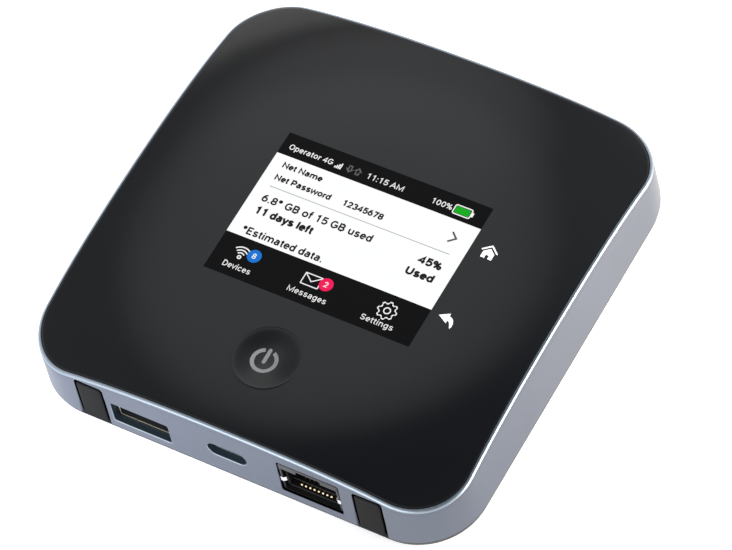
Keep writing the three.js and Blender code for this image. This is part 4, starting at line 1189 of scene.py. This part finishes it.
def build_flap(side):
    """A rubber flap that follows the wall, with rounded edges, its plug and the round it turns about."""
    low, high = flap_bounds(side)
    middle, width = (low.x + high.x) / 2, high.x - low.x
    hinge_z = low.z + HINGE_RISE
    set_out = 0.02
    rings = [wall_ring(flap_outline(width, hinge_z + 0.1, high.z, inset), middle, 0.0,
                       lambda z, depth=depth: -wall_half(z) + depth - set_out)
             for inset, depth in FLAP_EDGE]
    flap = make("flap_face", *loft(rings), RUBBER)
    plug = make("flap_plug", *loft(turned_along_y(PLUG_PROFILE, middle, SOCKET_Z)), RUBBER, 35.0)
    combine(flap, "UNION", [hinge_roll(middle, width, hinge_z)])
    combine(flap, "UNION", [plug])
    flap.name = f"antenna_flap_{side}_rubber"
    paint_gap_shade_on_sides(flap)
    smooth(flap, 40.0)
    place_piece(flap, f"antenna_flap_{side}", "rubber", f"antenna_flap_{side}")


def paint_gap_shade_on_sides(flap):
    """The flap's sides take a near-black material: painted shade for the narrow gap round a flap."""
    flap.data.materials.append(PAINTED_GAP_SHADE)
    back = (-WIDEST + FLAP_THICKNESS - 0.2) * MM
    for face in flap.data.polygons:
        if face.normal.y > -0.6 and face.center.y < back:
            face.material_index = 1


def build_antenna_socket(side):
    low, high = box_mm(f"antenna_socket_{side}")
    x, front = (low.x + high.x) / 2, low.y
    profile = [(1.5, SOCKET_BACK), (1.5, front + 0.15), (1.6, front), (1.85, front), (2.0, front + 0.15),
               (2.0, front + 1.2), (1.82, front + 1.4), (1.82, front + 2.2), (2.0, front + 2.4),
               (2.0, SOCKET_BACK)]
    barrel = make(f"antenna_socket_{side}_barrel", *loft(turned_along_y(profile, x, SOCKET_Z), annular=True),
                  GOLD, 35.0)
    base = block(f"antenna_socket_{side}_base", (low.x, SOCKET_BACK, low.z), high, GOLD, 0.2)
    place_piece(barrel, "housing", "gold_plate", f"antenna_socket_{side}")
    place_piece(base, "housing", "gold_plate")


for side in ("left", "right"):
    build_flap(side)
    build_antenna_socket(side)


# ---- back cover, battery and inner parts ---------------------------------------------------------

COVER_SEAM = SEAM - 0.12
COVER_FOOT_HALF, COVER_FOOT_CORNER = 49.2, 11.5
COVER_EDGE_HALF, COVER_EDGE_CORNER = 52.55, 14.85
# The cover's lip and its inside: half side, corner radius and level.
COVER_LIP = ((50.1, 11.4, COVER_SEAM + 0.05), (50.1, 11.4, 4.65), (49.95, 11.25, 4.8), (49.25, 10.55, 4.8),
             (49.1, 10.4, 4.65), (49.1, 10.4, 1.4))


def build_cover():
    """A shallow tray with a rounded foot, a finger notch and room for the flaps' feet."""
    rings = []
    steps = 10
    for step in range(steps + 1):
        angle = step / steps * math.pi / 2
        out = math.sin(angle)
        rings.append(square_ring(COVER_FOOT_HALF + (COVER_EDGE_HALF - COVER_FOOT_HALF) * out,
                                 COVER_FOOT_CORNER + (COVER_EDGE_CORNER - COVER_FOOT_CORNER) * out,
                                 (1 - math.cos(angle)) * COVER_SEAM))
    rings.append(square_ring(COVER_EDGE_HALF - 0.12, COVER_EDGE_CORNER - 0.12, COVER_SEAM + 0.05))
    rings += [square_ring(half, corner, z) for half, corner, z in COVER_LIP]
    cover = make("back_cover_shell", *loft(rings), DARK_PLASTIC)
    cut(cover, cover_cutters())
    place_piece(cover, "back_cover", "dark_plastic", "back_cover")


def cover_cutters():
    """The finger notch at the back and the room for the flaps' feet at the front."""
    half, depth, foot, beyond = 6, 0.9, 1.9, 1
    cutters = [block("cutter", (-half, WIDEST - depth, foot), (half, WIDEST + beyond, SEAM + beyond),
                     DARK_PLASTIC)]
    play, front, back, bottom, top = 0.6, -53.5, -49.6, SEAM - 0.3, 6
    for side in ("left", "right"):
        low, high = flap_bounds(side)
        cutters.append(block("cutter", (low.x - play, front, bottom), (high.x + play, back, top),
                             DARK_PLASTIC))
    return cutters


# The soft edge of the battery: inset and distance from its flat faces.
BATTERY_EDGE = ((0.5, 0.0), (0.15, 0.12), (0.0, 0.5))


def build_battery():
    """A wrapped pack with soft edges, a sunk label and a recess over its terminals."""
    low, high = box_mm("battery_pack")
    middle = (low + high) / 2
    levels = [(inset, low.z + rise) for inset, rise in BATTERY_EDGE]
    levels += [(inset, high.z - rise) for inset, rise in reversed(BATTERY_EDGE)]
    rings = []
    for inset, z in levels:
        plan = rounded_rectangle(high.x - low.x - 2 * inset, high.y - low.y - 2 * inset, 2.2 - inset)
        rings.append([Vector((p.x + middle.x, p.y + middle.y, z)) for p in plan])
    pack = make("battery_pack_sleeve", *loft(rings), BATTERY_WRAP)
    recess = block("cutter", (-6.2, low.y - 1, 4.3), (6.2, low.y + 0.6, 8.3), BATTERY_WRAP)
    label = block("cutter", (low.x + 5, low.y + 8, low.z - 1), (high.x - 5, high.y - 8, low.z + 0.08),
                  BATTERY_WRAP)
    cut(pack, [recess, label])
    place_piece(pack, "battery", "battery_wrap", "battery_pack")


def dress_cad_nodes():
    """Gives every CAD node that still shows its finish and softly rounded edges."""
    slots = {row["node"]: row["material_slot"] for row in frame["record"]["subparts"]}
    widest_rounding, share_of_thickness = 0.15, 0.12
    for name, obj in frame["nodes"].items():
        if obj.hide_render:
            continue
        obj.data.materials.clear()
        obj.data.materials.append(SLOT_MATERIALS[slots[name]])
        low, high = box_mm(name)
        soften(obj, min(widest_rounding, min(high - low) * share_of_thickness))


build_cover()
build_battery()
dress_cad_nodes()


# ---- studio --------------------------------------------------------------------------------------

CAMERA_AZIMUTH = 42.12
CAMERA_ELEVATION = 55.53
CAMERA_ROLL = -15.52
CAMERA_DISTANCE = 0.9188
CAMERA_TARGET = Vector((0.00499, -0.00151, 0.010))
CAMERA_LENS = 213.33


def build_camera():
    azimuth, elevation = math.radians(CAMERA_AZIMUTH), math.radians(CAMERA_ELEVATION)
    forward = Vector((-math.sin(azimuth) * math.cos(elevation), math.cos(azimuth) * math.cos(elevation),
                      -math.sin(elevation)))
    level = forward.cross(Vector((0, 0, 1))).normalized()
    upright = level.cross(forward)
    roll = math.radians(CAMERA_ROLL)
    right = math.cos(roll) * level + math.sin(roll) * upright
    up = right.cross(forward)
    data = bpy.data.cameras.new("camera")
    data.lens = CAMERA_LENS
    data.sensor_width = 36.0
    data.clip_start, data.clip_end = 0.01, 20.0
    camera = link(bpy.data.objects.new("camera", data))
    turn = Matrix((right, up, -forward)).transposed().to_4x4()
    camera.matrix_world = Matrix.Translation(CAMERA_TARGET - forward * CAMERA_DISTANCE) @ turn
    bpy.context.scene.camera = camera


def build_floor():
    size = 3.0
    mesh = bpy.data.meshes.new("floor")
    corners = [(-size, -size, 0), (size, -size, 0), (size, size, 0), (-size, size, 0)]
    mesh.from_pydata(corners, [], [(0, 1, 2, 3)])
    floor = link(bpy.data.objects.new("floor", mesh))
    just_below = -0.0001
    floor.location.z = just_below
    paper = finish("floor_paper", (0.9, 0.9, 0.9), 0.8, variation=0.01, grain=3.0,
                   glow=(1.0, 1.0, 1.0), glow_strength=1.0, specular=0.1)
    floor.data.materials.append(paper)
    shade_floor(paper.node_tree)
    clear_underside(paper.node_tree)


def shade_floor(tree):
    """The floor glows stronger towards the far left, cooler before the ports and warmer on their right."""
    shader = tree.nodes["Principled BSDF"]
    glow = along_floor(tree, (-1.0, 1.0, 0.0), (-0.12, -0.03), (0.2, 0.95))
    tree.links.new(glow, shader.inputs["Emission Strength"])
    warmth = along_floor(tree, (1.0, 1.0, 0.0), (-0.06, 0.06), (0.0, 1.0))
    tree.links.new(blend(tree, warmth, (0.96, 1.0, 1.1, 1.0), (1.1, 1.0, 0.9, 1.0)),
                   shader.inputs["Emission Color"])


def along_floor(tree, direction, places, values):
    """A value that changes evenly between two places along a direction on the floor."""
    place = node(tree, "TexCoord").outputs["Object"]
    return mapped(tree, dot(tree, place, direction), places, values)


def clear_underside(tree):
    """Seen from below, the floor is clear, so that the underside shows."""
    mix = node(tree, "MixShader", {
        "Fac": node(tree, "NewGeometry").outputs["Backfacing"],
        1: tree.nodes["Principled BSDF"].outputs["BSDF"],
        2: node(tree, "BsdfTransparent").outputs["BSDF"]})
    tree.links.new(mix.outputs["Shader"], tree.nodes["Material Output"].inputs["Surface"])


def add_softbox(name, place, width, height, power, color=(1.0, 1.0, 1.0)):
    data = bpy.data.lights.new(name, "AREA")
    data.shape = "RECTANGLE"
    data.size, data.size_y = width, height
    data.energy = power
    data.color = color
    light = link(bpy.data.objects.new(name, data))
    light.location = place
    light.rotation_euler = (-Vector(place)).to_track_quat("-Z", "Y").to_euler()


SKY_BY_HEIGHT = ((0.0, 0.95), (0.42, 0.95), (0.52, 0.45), (0.6, 0.3), (0.8, 0.3), (0.88, 0.24),
                 (0.94, 0.09), (1.0, 0.03))
# Soft lights in the sky: direction, half width in degrees and strength.
SKY_LIGHTS = (((-0.38, 0.38, 0.84), 15.0, 0.46), ((-0.42, 0.59, 0.69), 13.0, 0.5),
              ((-0.38, -0.62, 0.69), 42.0, 0.8))


def sky_light(tree, direction, towards, half_width, strength):
    """Brightness of a soft round light in the sky, seen along a direction."""
    closeness = dot(tree, direction, Vector(towards).normalized())
    return mapped(tree, closeness, (math.cos(math.radians(half_width)), 1.0), (0.0, strength), "SMOOTHSTEP")


def build_sky():
    """A studio that is bright low down and dark overhead, with a few soft lights."""
    world = bpy.data.worlds.new("studio")
    bpy.context.scene.world = world
    world.use_nodes = True
    tree = world.node_tree
    direction = node(tree, "TexCoord").outputs["Generated"]
    height = node(tree, "SeparateXYZ", {"Vector": direction}).outputs["Z"]
    ramp = node(tree, "ValToRGB", {"Fac": height})
    while len(ramp.color_ramp.elements) < len(SKY_BY_HEIGHT):
        ramp.color_ramp.elements.new(0.5)
    for element, (place, value) in zip(ramp.color_ramp.elements, SKY_BY_HEIGHT):
        element.position = place
        element.color = (value * (1.0 - 0.35 * place ** 8), value, value * (1.0 + 0.15 * place ** 8), 1.0)
    brightness = ramp.outputs["Color"]
    for towards, half_width, strength in SKY_LIGHTS:
        light = sky_light(tree, direction, towards, half_width, strength)
        brightness = node(tree, "VectorMath", {0: brightness, 1: light}, operation="ADD").outputs["Vector"]
    tree.links.new(brightness, tree.nodes["Background"].inputs["Color"])


build_camera()
build_floor()
build_sky()
add_softbox("front_softbox", (-0.1, -0.9, 0.45), 1.0, 0.4, 3.0)
add_softbox("right_softbox", (0.9, 0.35, 0.3), 0.9, 0.4, 18.0, (1.0, 0.96, 0.9))
bpy.context.scene.view_settings.view_transform = "Standard"
